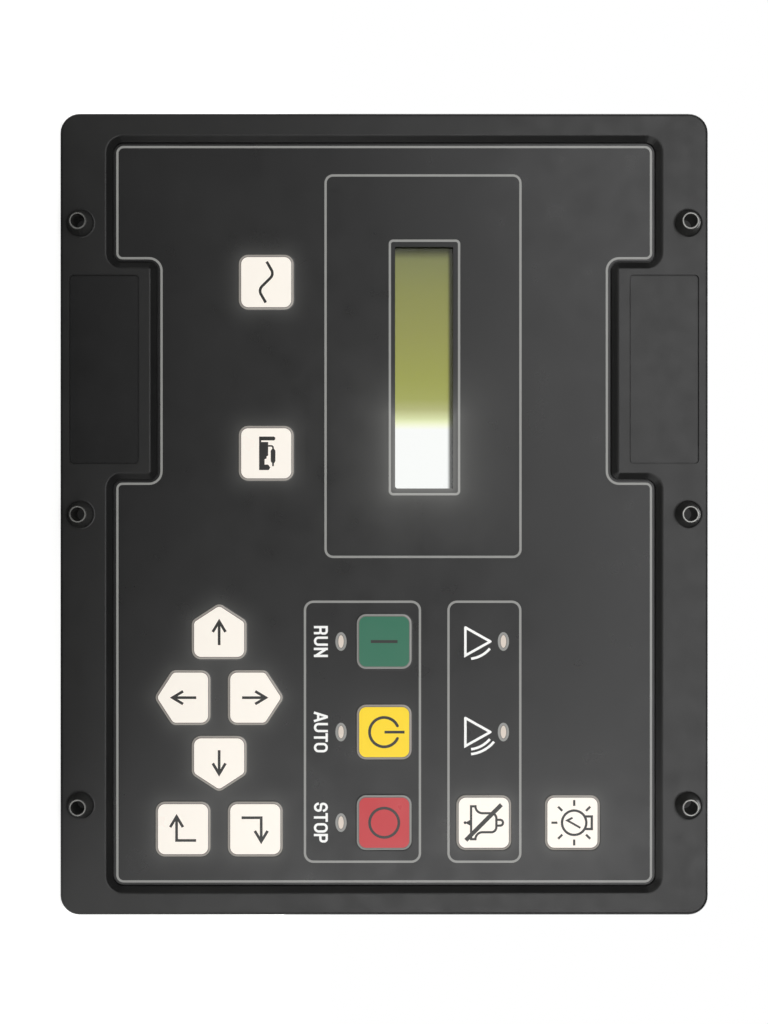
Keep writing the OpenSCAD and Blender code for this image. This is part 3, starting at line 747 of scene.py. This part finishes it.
def circuit_film():
    # Amber polyester with printed silver tracks that run aslant, about 3 mm apart
    material, tree, shader = surface("printed_polyester_circuit", linear("#A3813F"), 0.35)
    tracks = add(tree, "TexWave", {"Vector": place(tree), "Scale": wave_scale(2.4),
                                   "Distortion": 3.0, "Detail Scale": 0.02},
                 bands_direction="DIAGONAL")
    tinted(tree, shader, tracks.outputs["Fac"], "#8E6E32", "#B9B6AC")
    return material


def lamp_resin():
    # Cast epoxy of a surface-mounted lamp: milky and slightly glossy
    return moulded("cast_epoxy_lamp", "#E6DEC2", "#F3EDD8", 0.2, 0.3, 0.4, 0.004)


def clear_acrylic():
    # Cast acrylic, polished and coated against glare: clear, with only faint reflections
    material, tree, shader = surface(
        "polished_cast_acrylic", linear("#FAFCFA"), 0.03,
        {"Transmission Weight": 1.0, "IOR": 1.49, "Specular IOR Level": 0.08})
    rough_spread(tree, shader, grain(tree, 20), 0.02, 0.05)
    return material


def blackened_steel():
    # Mild steel sheet, folded and blackened: dull dark metal with a brown cast
    return plated("blackened_steel_sheet", "#1B1A19", "#262423", 0.45, 0.6, 0.5)


# The display's colour at places along it, from its left end, in millimetres
DISPLAY_RAMP = [(-85, "#6F714A"), (-80, "#7C7E4E"), (-70, "#88894B"), (-56, "#92924B"),
                (-42, "#9C9E4C"), (-36, "#A4A657"), (-32.8, "#B6B77A"), (-31.2, "#CCCE96"),
                (-29.9, "#DCE1AA"), (-28.8, "#F1F5C8"), (-27.6, "#FEFFE6"), (-26.4, "#FFFFFF")]


def lit_display():
    """Liquid-crystal glass over an edge lamp: olive, and white where the lamp shines through."""
    # The lamp at the right end washes the glass out, so the colour follows the distance from it
    material, tree, shader = surface("liquid_crystal_glass", linear("#080805"), 0.4,
                                     {"Specular IOR Level": 0.05})
    start = DISPLAY_RAMP[0][0]
    end = DISPLAY_RAMP[-1][0]
    ramp = add(tree, "ValToRGB", {"Fac": along(tree, "X", start, end)})
    stops = ramp.color_ramp.elements
    while len(stops) < len(DISPLAY_RAMP):
        stops.new(0.5)
    for stop, (x, code) in zip(stops, DISPLAY_RAMP):
        stop.position = (x - start) / (end - start)
        stop.color = (*linear(code), 1)
    tree.links.new(ramp.outputs["Color"], shader.inputs["Emission Color"])
    # Painted shade: the glow is dimmed along the glass's top and left, where the window's wall
    # would shade it
    upper = along(tree, "Z", 19.5, 20.9, 1.03, 0.1, interpolation_type="SMOOTHSTEP")
    left = along(tree, "X", -83.4, -79.0, 0.1, 1.0, interpolation_type="SMOOTHSTEP")
    level = add(tree, "Math", {0: upper, 1: left}, operation="MULTIPLY")
    tree.links.new(level.outputs["Value"], shader.inputs["Emission Strength"])
    return material


def light_guide():
    # Moulded acrylic guide with white dots: milky and even
    return moulded("dotted_acrylic_guide", "#DEE0C4", "#EDEFD8", 0.3, 0.4, 0.6, 0.01)


def board_laminate():
    # Glass-epoxy board under green solder mask: satin, with rows of tracks about 2 mm apart
    material, tree, shader = surface("solder_masked_laminate", linear("#0F4A2A"), 0.3)
    tracks = add(tree, "TexBrick", {"Vector": place(tree), "Scale": 1 / (9 * MM),
                                    "Mortar Size": 0.03, "Color1": (0.35, 0.35, 0.35, 1),
                                    "Color2": (0.5, 0.5, 0.5, 1), "Mortar": (0.7, 0.7, 0.7, 1)})
    tinted(tree, shader, tracks.outputs["Color"], "#0C3F24", "#1D6A3C")
    rough_spread(tree, shader, grain(tree, 4), 0.25, 0.4)
    return material


def zinc_screw():
    # Cold-headed steel screws, zinc plated: bright silver with a slight uneven tone
    return plated("cold_headed_steel_zinc_plated", "#A3A39F", "#C9C9C5", 0.22, 0.38, 0.4)


def ribbon_film():
    # Flat laminated cable: cream film over conductors, drawn 2 mm apart so that they show
    material, tree, shader = surface("laminated_flat_cable", linear("#C8C2AC"), 0.45)
    wires = add(tree, "TexWave", {"Vector": place(tree), "Scale": wave_scale(2.0)})
    tinted(tree, shader, wires.outputs["Fac"], "#BDB59A", "#D6D1BE")
    return material


def chip_epoxy():
    # Transfer-moulded epoxy: dark grey, dull and very finely pitted
    return moulded("transfer_moulded_epoxy", "#151515", "#1C1C1C", 0.5, 0.62, 0.3, 0.006)


def relay_case():
    # Moulded polyester case: dark, with a light satin gloss
    return moulded("moulded_polyester_case", "#1E1E20", "#252528", 0.3, 0.4, 0.5, 0.006)


def capacitor_sleeve():
    # Shrunk PVC sleeve over an aluminium can: glossy with faint creases
    return moulded("shrunk_pvc_sleeve", "#1D1D28", "#272735", 0.15, 0.28, 2.5, 0.03)


def coil_copper():
    # Enamelled copper wire wound on a drum: glossy turns, drawn 1.2 mm apart so that they show,
    # with painted shade between them and painted highlight along their crests
    material, tree, shader = surface("enamelled_copper_winding", linear("#9A5A2C"), 0.3,
                                     {"Metallic": 1.0})
    turns = add(tree, "TexWave", {"Vector": place(tree), "Scale": wave_scale(1.2)},
                bands_direction="Y")
    tinted(tree, shader, turns.outputs["Fac"], "#7A4520", "#C07A3E")
    dented(tree, shader, turns.outputs["Fac"], 0.1)
    return material


def socket_nylon():
    # Moulded natural nylon: cream, slightly waxy
    return moulded("moulded_natural_nylon", "#D2CDB8", "#DDD9C8", 0.38, 0.48, 0.6, 0.008)


def turned_brass():
    # Turned brass: warm yellow with fine rings from the tool
    return plated("turned_brass", "#B08A44", "#D0AC62", 0.2, 0.36, 0.3)


def moulded_rubber():
    # Moulded nitrile cord: black and dull
    return moulded("moulded_nitrile_rubber", "#141414", "#1A1A1A", 0.65, 0.8, 0.5, 0.01)


def powder_coated_casting():
    # Die-cast aluminium under black powder coat: orange peel about 1.5 mm across
    return moulded("powder_coated_die_casting", "#171718", "#1D1D1E", 0.4, 0.5, 1.5, 0.05)


def header_pbt():
    # Moulded PBT of the header: plain black with a low satin
    return moulded("moulded_pbt_header", "#161616", "#1B1B1B", 0.38, 0.48, 0.7, 0.01)


def seal_silicone():
    # Moulded silicone: rust red, dull and smooth
    return moulded("moulded_silicone_seal", "#7C2C18", "#8E3620", 0.5, 0.6, 0.8, 0.01)


def tinned_pin():
    # Drawn brass pins, tin plated: silvery with a warm cast
    return plated("drawn_brass_tin_plated", "#B9B2A0", "#D8D2C2", 0.2, 0.34, 0.25, (1, 12, 1))


def vent_plastic():
    # Moulded polyamide vent: black and slightly coarser than the header
    return moulded("moulded_polyamide_vent", "#141414", "#1A1A1A", 0.48, 0.58, 0.5, 0.015)


# The material of each slot in the frame's record
FINISHES = {
    "bezel_plastic": spark_textured_pbt, "sleeve_steel": turned_steel,
    "gasket_foam": closed_cell_foam, "label_film": gloss_label, "spacer_film": spacer_film,
    "dome_steel": dome_steel, "circuit_film": circuit_film, "lamp_resin": lamp_resin,
    "lens_acrylic": clear_acrylic, "frame_steel": blackened_steel,
    "display_glass": lit_display, "light_guide": light_guide,
    "board_laminate": board_laminate, "screw_steel": zinc_screw, "ribbon_film": ribbon_film,
    "chip_epoxy": chip_epoxy, "relay_case": relay_case, "capacitor_sleeve": capacitor_sleeve,
    "coil_copper": coil_copper, "socket_nylon": socket_nylon, "insert_brass": turned_brass,
    "cord_rubber": moulded_rubber, "cover_aluminium": powder_coated_casting,
    "header_plastic": header_pbt, "seal_silicone": seal_silicone, "pin_tin": tinned_pin,
    "vent_plastic": vent_plastic}
made_finishes = {}


def finish(slot):
    """The material of a slot, made once."""
    if slot not in made_finishes:
        made_finishes[slot] = FINISHES[slot]()
    return made_finishes[slot]


def printed_film(ink, rgb, glow):
    """Velvet polycarbonate over one ink, lit from behind at its level or given the mesh's painted
    glow.
    """
    # The film's fine texture softens reflections, while the ink under it stays crisp
    sheen_cloud = 9
    texture = 0.35
    material, tree, shader = surface("velvet_polycarbonate_over_" + ink, rgb, 0.27)
    rough_spread(tree, shader, grain(tree, sheen_cloud, 3), 0.27, 0.34)
    dented(tree, shader, grain(tree, texture), 0.003)
    # Light that comes through an ink takes its colour, and the painted glow round the lit keys and
    # the display is white
    if ink in BACKLIGHT:
        shader.inputs["Emission Color"].default_value = (*rgb, 1)
        shader.inputs["Emission Strength"].default_value = BACKLIGHT[ink]
    else:
        painted_glow = add(tree, "Attribute", {}, attribute_name=GLOW)
        shader.inputs["Emission Color"].default_value = (*glow, 1)
        tree.links.new(painted_glow.outputs["Fac"], shader.inputs["Emission Strength"])
    return material


def glow_levels(points, lights):
    """How much painted glow each (x, z) point takes from lit outlines.

    Each light is its outline and rows of (level at its edge, distance that fades it to a third).
    """
    total = np.zeros(len(points))
    for outline, falls in lights:
        ring = []
        for a, b in zip(outline, outline[1:] + outline[:1]):
            parts = max(int((b - a).length), 1)
            ring += [a + (b - a) * k / parts for k in range(parts)]
        gaps = points[:, None, :] - np.array(ring)[None, :, :]
        near = np.sqrt((gaps ** 2).sum(axis=2)).min(axis=1)
        for level, reach in falls:
            total += level * np.exp(-near / reach)
    return total


# Operators


class MODULE_OT_keypad(bpy.types.Operator):
    """Makes the printed film with its embossed keys, lines, words and lamp windows"""
    bl_idname = "module.keypad"
    bl_label = "Printed keypad film"

    def execute(self, context):
        sizes = context.scene.keypad_sizes
        colours = context.scene.keypad_colours
        slot = {name: i for i, name in enumerate(INKS)}
        low, high = node_box("graphic_overlay")
        film_y = node_box("dome_spacer")[0].y - FILM_THICKNESS
        sheet = Sheet()
        outline = self.outline(low, high)
        edge = rounded(outline)
        window = self.window()
        lamps = [centre_of(box) for box in solids("status_lamps")]
        lit = rounded(rectangle(*LIT_END))
        lights = [(lit, LIT_GLOW)]
        halos = [rounded(rectangle(*LIT_END), step) for step in LIT_STEPS]
        openings = [window]
        for (draw, ink, facing), dome in zip(KEYS, solids("snap_domes")):
            rim = "rim" if ink in KEY_GLOW else "line"
            at = centre_of(dome)
            turn = facing or 0
            shape = self.shape(sizes, facing)
            loops = self.emboss(sizes, shape, (*at, turn), film_y, low.y)
            sheet.rings(loops, self.bands(sizes, rim, slot))
            foot, top = ([Vector((p[0], p[2])) for p in loop] for loop in (loops[0], loops[-1]))
            symbol = placed(draw(sizes.symbol_line / MM), *at, 0 if facing is None else turn + 180)
            sheet.flat([[top], symbol], low.y, [slot[ink], slot["symbol"]])
            openings.append(foot)
            if ink in KEY_GLOW:
                halos += placed([rounded(shape, step) for step in GLOW_STEPS], *at, turn)
                lights.append((placed([rounded(shape)], *at, turn)[0],
                               [(KEY_GLOW[ink], sizes.glow_reach / MM)]))
        rings, seams, panes = ([disc(x, z, radius, 32, squeeze) for x, z in lamps]
                               for radius, squeeze in (LAMP_LINE, LAMP_SEAM, LAMP_PANE))
        sheet.flat([[edge] + halos, self.lines(sizes, outline) + rings, seams, panes,
                    self.lettering(sizes, lamps), openings], film_y,
                   [slot[ink] for ink in ("ground", "line", "seam", "lamp", "letter")] + [None])
        sheet.flat([[edge], [window]], high.y, [slot["ground"], None], away=True)
        for loop in (edge, window[::-1]):
            sheet.rings([[(p.x, y, p.y) for p in loop] for y in (high.y, film_y)],
                        [slot["ground"]], smooth=False)
        film = sheet.build("printed_keypad_film",
                           [printed_film(ink, getattr(colours, ink), colours.glow)
                            for ink in INKS])
        places = np.array([(v.co.x, v.co.z) for v in film.data.vertices]) / MM
        level = film.data.attributes.new(GLOW, "FLOAT", "POINT")
        level.data.foreach_set("value", glow_levels(places, lights))
        finish_piece(film, "overlay_film", "graphic_overlay")
        return {"FINISHED"}

    def outline(self, low, high):
        """The film's corners with their notches, alike below and above."""
        notch = low.z + NOTCH_DEPTH
        lower = [(low.x, low.z, FILM_CORNER), (NOTCH_LEFT, low.z, NOTCH_MOUTH),
                 (NOTCH_LEFT, notch, FILM_CORNER), (NOTCH_RIGHT, notch, FILM_CORNER),
                 (NOTCH_RIGHT, low.z, NOTCH_MOUTH), (high.x, low.z, FILM_CORNER)]
        return lower + [(x, low.z + high.z - z, radius) for x, z, radius in reversed(lower)]

    def window(self):
        """The opening over the display's lens."""
        low, high = node_box("display_window")
        return rounded(rectangle(low.x + LENS_LAP, high.x - LENS_LAP, low.z + LENS_LAP,
                                 high.z - LENS_LAP, LENS_CORNER))

    def lines(self, sizes, outline):
        """The lines along the film's edge, round the groups and round the display."""
        line = sizes.group_line / MM
        lines = stroke(rounded(outline, -BORDER_INSET), sizes.border_line / MM, closed=True)
        for group in (DISPLAY_GROUP, RUN_GROUP, ALARM_GROUP, DISPLAY_LINE):
            lines += stroke(rounded(rectangle(*group), -line / 2), line, closed=True)
        return lines

    def lettering(self, sizes, lamps):
        """The words under the lower lamps and the triangles under the upper ones."""
        height = sizes.letter_height / MM
        line = sizes.letter_line / MM
        polygons = []
        for (text, gap), (x, z) in zip(WORDS.items(), [lamp for lamp in lamps if lamp[1] < 0]):
            polygons += word(text, gap, x, WORD_Z, height, line)
        for arcs, (x, z) in enumerate([lamp for lamp in lamps if lamp[1] > 0], 1):
            polygons += warning(x, z - TRIANGLE_DROP, arcs)
        return polygons

    def shape(self, sizes, facing):
        """A key's corners round its middle, as (x, z, radius), pointing toward +x if it points."""
        half = sizes.key_side / MM / 2
        corner = sizes.key_corner / MM
        if facing is None:
            return rectangle(-half, half, -half, half, corner)
        small = sizes.point_corner / MM
        run = sizes.point_length / MM
        slope = Vector((run - small, small - half)).normalized()
        normal = turn_left(slope)
        shoulder = half - run + small * (1 - normal.y) / normal.x
        tip = half - small + small / normal.x
        return [(-half, -half, corner), (shoulder, -half, small), (tip, 0, small),
                (shoulder, half, small), (-half, half, corner)]

    def grows(self, sizes):
        """How far each loop of an embossed key lies outside the key, from its foot to its top."""
        steps = 10
        band = sizes.rim_band / MM
        skirt = sizes.skirt_run / MM
        evenly = [skirt - (skirt + band) * k / steps for k in range(steps + 1)]
        return sorted({*evenly, 0.0}, reverse=True)

    def emboss(self, sizes, shape, at, film_y, top_y):
        """The loops of one embossed key at (x, z, angle), which rise like half a wave."""
        grows = self.grows(sizes)
        loops = []
        for grow in grows:
            t = (grows[0] - grow) / (grows[0] - grows[-1])
            y = film_y + (top_y - film_y) * (1 - math.cos(math.pi * t)) / 2
            loops.append([(p.x, y, p.y) for p in placed([rounded(shape, grow)], *at)[0]])
        return loops

    def bands(self, sizes, rim, slot):
        """The ink that starts at each loop: the ground, the line round the key, and the dark line
        inside it, painted shade along the emboss.
        """
        shade_start = (sizes.shade_line_width - sizes.rim_band) / MM
        close = 0.01
        return [slot["ground" if grow > close else rim if grow > shade_start + close else "seam"]
                for grow in self.grows(sizes)]


class MODULE_OT_pins(bpy.types.Operator):
    """Makes the header's pins with their bevelled tips"""
    bl_idname = "module.pins"
    bl_label = "Header pins"

    def execute(self, context):
        sheet = Sheet()
        for box in solids("header_pins"):
            x, z = centre_of(box)
            r = (box[1].x - box[0].x) / 2
            back = box[0].y
            tip = box[1].y
            turned_piece(sheet, x, z, [
                (back, POINT), (back, r), (tip - 1.2, r), (tip - 0.5, r * 0.8),
                (tip - 0.12, r * 0.5), (tip, r * 0.25), (tip, POINT)], sides=12)
        finish_piece(sheet.build("header_pins_bevelled", [finish("pin_tin")]), "pin_tin",
                     "header_pins")
        return {"FINISHED"}


class MODULE_OT_screws(bpy.types.Operator):
    """Makes the header's and the cover's screws with rounded heads and hexagon sockets"""
    bl_idname = "module.screws"
    bl_label = "Socket screws"

    def execute(self, context):
        for node, head_h, name in (("header_screws", 2.0, "header_socket_screws"),
                                   ("cover_screws", 2.6, "cover_socket_screws")):
            sheet = Sheet()
            for box in solids(node):
                x, z = centre_of(box)
                r = (box[1].x - box[0].x) / 2
                shank = r * 0.52
                front = box[0].y
                top = box[1].y
                seat = top - head_h
                key = r * 0.43
                turned_piece(sheet, x, z, [
                    (front, POINT), (front, shank * 0.7), (front + 0.5, shank), (seat, shank),
                    (seat, r), (seat + 0.25, r), (top - 0.55, r), (top - 0.25, r * 0.95),
                    (top - 0.06, r * 0.87), (top, r * 0.78), (top, key * 1.3),
                    (top - 0.18, key * 1.03, True), (top - head_h * 0.6, key, True),
                    (top - head_h * 0.6 - 0.3, POINT, True)])
            finish_piece(sheet.build(name, [finish("screw_steel")]), "screw_steel", node)
        return {"FINISHED"}


class MODULE_OT_thread(bpy.types.Operator):
    """Cuts the look of a thread into the jackscrew's bore, as a ridge that winds along it"""
    bl_idname = "module.thread"
    bl_label = "Jackscrew thread"

    def execute(self, context):
        low, high = node_box("jackscrew_insert")
        x, z = centre_of((low, high))
        sides = 24
        bore = 3.0
        pitch = 1.0
        depth = 0.5
        # The ridge starts a little inside the wall, and its crest is flat
        root = bore + 0.05
        section = [(root, -0.44), (bore - depth, -0.08), (bore - depth, 0.08), (root, 0.44)]
        first = low.y + 1.1
        turns = int((high.y - first - pitch / 2) / pitch)
        sheet = Sheet()
        rings = []
        for k in range(turns * sides + 1):
            a = 2 * math.pi * k / sides
            middle = first + pitch * k / sides
            rings.append([(x + r * math.cos(a), middle + dy, z + r * math.sin(a))
                          for r, dy in section])
        sheet.rings(rings, smooth=False)
        sheet.face(rings[0][::-1])
        sheet.face(rings[-1])
        finish_piece(sheet.build("jackscrew_thread", [finish("insert_brass")]), "insert_brass")
        return {"FINISHED"}


class MODULE_OT_finishes(bpy.types.Operator):
    """Gives every construction piece its real material and finish"""
    bl_idname = "module.finishes"
    bl_label = "Finishes"

    def execute(self, context):
        # The overlay's slot has no finish of its own, as the printed film takes its place
        for row in frame["record"]["subparts"]:
            if row["material_slot"] in FINISHES:
                for slot in frame["nodes"][row["node"]].material_slots:
                    slot.material = finish(row["material_slot"])
        return {"FINISHED"}


# Softboxes: where each stands and its two sides, in metres, and the setting for its power. The
# front two stand clear of what the flat display mirrors to the camera, and the rest stay behind
# the panel, so that its slopes and edges read dark
SOFTBOXES = {
    "softbox_above": ((-0.107, -0.9, 0.323), (0.44, 0.9), "above_power"),
    "softbox_right": ((0.297, -0.9, -0.045), (0.2, 0.64), "right_power"),
    "softbox_side_left": ((-1.2, 0.5, 0.4), (0.8, 0.8), "side_power"),
    "softbox_side_right": ((1.2, 0.5, 0.4), (0.8, 0.8), "side_power"),
    "softbox_top": ((0.0, 1.0, 1.0), (0.9, 0.9), "top_power"),
    "softbox_back": ((0.3, 1.2, 0.4), (0.9, 0.9), "back_power")}
# The view's middle, as (x, z) in millimetres from the panel's own
VIEW_MIDDLE = (-0.69, -0.06)
# Half the floor's side, and the gap between it and the flange, in metres
FLOOR_HALF = 3.0
FLOOR_GAP = 0.05 * MM


class MODULE_OT_studio(bpy.types.Operator):
    """Sets up the floor, the background, the softboxes and the camera"""
    bl_idname = "module.studio"
    bl_label = "Studio"

    def execute(self, context):
        scene = context.scene
        studio = scene.studio_settings
        scene.view_settings.view_transform = "Standard"
        self.floor()
        self.bore_shade_cards()
        self.background(scene)
        for name, (place, size, setting) in SOFTBOXES.items():
            self.softbox(name, place, size, getattr(studio, setting))
        self.camera(scene, studio)
        return {"FINISHED"}

    def floor(self):
        """A painted floor just under the flange, which shows white and keeps shadows."""
        half = FLOOR_HALF
        z = CAD_BOX[0][2] - FLOOR_GAP
        mesh = bpy.data.meshes.new("floor")
        mesh.from_pydata([(-half, -half, z), (half, -half, z), (half, half, z), (-half, half, z)],
                         [], [(0, 1, 2, 3)])
        # Matt pale paint: what the lamps leave grey is lifted to white for the eye. Mirrors find
        # it dark, but for a painted pool of light that starts 70 to 130 mm right of the middle
        material, tree, shader = surface("matt_painted_floor", linear("#9E9E9C"), 0.9,
                                         {"Specular IOR Level": 0.0,
                                          "Emission Color": (1, 1, 1, 1)})
        tinted(tree, shader, grain(tree, 30), "#9C9C9A", "#A0A09E")
        painted_pool = along(tree, "X", 70, 130, 0.0, 0.65, interpolation_type="SMOOTHSTEP")
        lift = seen_level(tree, painted_pool, 0.8, 0.0)
        tree.links.new(lift, shader.inputs["Emission Strength"])
        mesh.materials.append(material)
        linked("floor", mesh)

    def bore_shade_cards(self):
        """Black discs over the bolt holes' rear ends, painted shade that only shows from the
        panel's front.
        """
        # A little narrower than the sleeves, and just clear of their ends
        share = 0.9
        behind = 0.1
        sides = 24
        mesh = bpy.data.meshes.new("bolt_hole_cards")
        points = []
        for box in solids("mounting_sleeves"):
            radius = share * (box[1].x - box[0].x) / 2
            loop = turned_loop(*centre_of(box), box[1].y + behind, radius, sides)
            points += [Vector(p) * MM for p in loop]
        mesh.from_pydata(points, [], [range(i, i + sides) for i in range(0, len(points), sides)])
        # Matt black paper as painted shade: the bores show it instead of the white background. Its
        # emission is painted light, a little lighter toward the top, where the lamps leave the
        # panel lighter
        material, tree, shader = surface("matt_black_card", linear("#1C1C1C"), 0.9,
                                         {"Emission Color": (1, 1, 1, 1)})
        level = along(tree, "Z", -90, 90, 0.011, 0.034)
        tree.links.new(level, shader.inputs["Emission Strength"])
        side = add(tree, "NewGeometry", {})
        clear = add(tree, "BsdfTransparent", {})
        mix = add(tree, "MixShader", {0: side.outputs["Backfacing"],
                                      1: shader.outputs["BSDF"], 2: clear.outputs["BSDF"]})
        tree.links.new(mix.outputs["Shader"], tree.nodes["Material Output"].inputs["Surface"])
        mesh.materials.append(material)
        linked("bolt_hole_cards", mesh)

    def background(self, scene):
        """White where it is seen, and a plain grey light from all round."""
        world = bpy.data.worlds.new("studio_background")
        world.use_nodes = True
        tree = world.node_tree
        tree.nodes.clear()
        way = add(tree, "TexCoord", {})
        axes = add(tree, "SeparateXYZ", {"Vector": way.outputs["Generated"]})
        # The room behind the camera is dim, so dark plastic facing it stays dark
        dim = add(tree, "MapRange", {"Value": axes.outputs["Y"], "From Min": 0.15,
                                     "From Max": 0.95, "To Min": 0.06, "To Max": 1.0},
                  interpolation_type="SMOOTHSTEP")
        level = seen_level(tree, dim.outputs["Result"], 1.0, 0.8)
        light = add(tree, "Background", {"Color": (1, 1, 1, 1), "Strength": level})
        add(tree, "OutputWorld", {"Surface": light.outputs["Background"]})
        scene.world = world

    def softbox(self, name, place, size, power):
        """A lamp that faces the panel's middle; its two sides run outward and across."""
        data = bpy.data.lights.new(name, "AREA")
        data.shape = "RECTANGLE"
        data.size, data.size_y = size
        data.energy = power
        away = Vector(place).normalized()
        out = Vector((place[0], 0, place[2]))
        out = (out - away * out.dot(away)).normalized()
        turned = Matrix((out, away.cross(out), away)).transposed().to_4x4()
        linked(name, data).matrix_world = Matrix.Translation(place) @ turned

    def camera(self, scene, studio):
        """Square to the panel and rolled, so that the panel's right is down and its top right."""
        data = bpy.data.cameras.new("camera")
        data.sensor_width = 36.0
        data.lens = data.sensor_width * studio.distance / studio.view_height
        data.clip_start = 0.01
        camera = linked("camera", data)
        x, z = VIEW_MIDDLE
        camera.matrix_world = Matrix(((0, -1, 0, x * MM), (0, 0, -1, FACE_Y - studio.distance),
                                      (1, 0, 0, z * MM), (0, 0, 0, 1)))
        scene.camera = camera


def seen_level(tree, mirrored, seen, unseen):
    """One strength in mirrors, one for the eye and through glass, and one for other rays."""
    ray = add(tree, "LightPath", {})
    clear = add(tree, "Math", {0: ray.outputs["Is Camera Ray"],
                               1: ray.outputs["Is Transmission Ray"]}, operation="MAXIMUM")
    base = add(tree, "Mix", {0: ray.outputs["Is Glossy Ray"], 2: unseen, 3: mirrored},
               data_type="FLOAT")
    return add(tree, "Mix", {0: clear.outputs["Value"], 2: base.outputs[0], 3: seen},
               data_type="FLOAT").outputs[0]


OPERATORS = (MODULE_OT_studio, MODULE_OT_finishes, MODULE_OT_keypad, MODULE_OT_pins,
             MODULE_OT_screws, MODULE_OT_thread)


class MODULE_PT_panel(bpy.types.Panel):
    """Lists the steps that dress the module"""
    bl_idname = "MODULE_PT_panel"
    bl_label = "Engine control module"
    bl_space_type = "VIEW_3D"
    bl_region_type = "UI"
    bl_category = "Module"

    def draw(self, context):
        for operator in OPERATORS:
            self.layout.operator(operator.bl_idname)
        for group in (context.scene.keypad_sizes, context.scene.keypad_colours,
                      context.scene.studio_settings):
            for name in group.__annotations__:
                self.layout.prop(group, name)


CLASSES = (KeypadSizes, KeypadColours, StudioSettings) + OPERATORS + (MODULE_PT_panel,)


def register():
    for item in CLASSES:
        bpy.utils.register_class(item)
    bpy.types.Scene.keypad_sizes = bpy.props.PointerProperty(type=KeypadSizes)
    bpy.types.Scene.keypad_colours = bpy.props.PointerProperty(type=KeypadColours)
    bpy.types.Scene.studio_settings = bpy.props.PointerProperty(type=StudioSettings)


def unregister():
    del bpy.types.Scene.studio_settings
    del bpy.types.Scene.keypad_colours
    del bpy.types.Scene.keypad_sizes
    for item in reversed(CLASSES):
        bpy.utils.unregister_class(item)


def main():
    register()
    bpy.ops.module.studio()
    bpy.ops.module.finishes()
    bpy.ops.module.keypad()
    bpy.ops.module.pins()
    bpy.ops.module.screws()
    bpy.ops.module.thread()


if __name__ == "__main__":
    main()
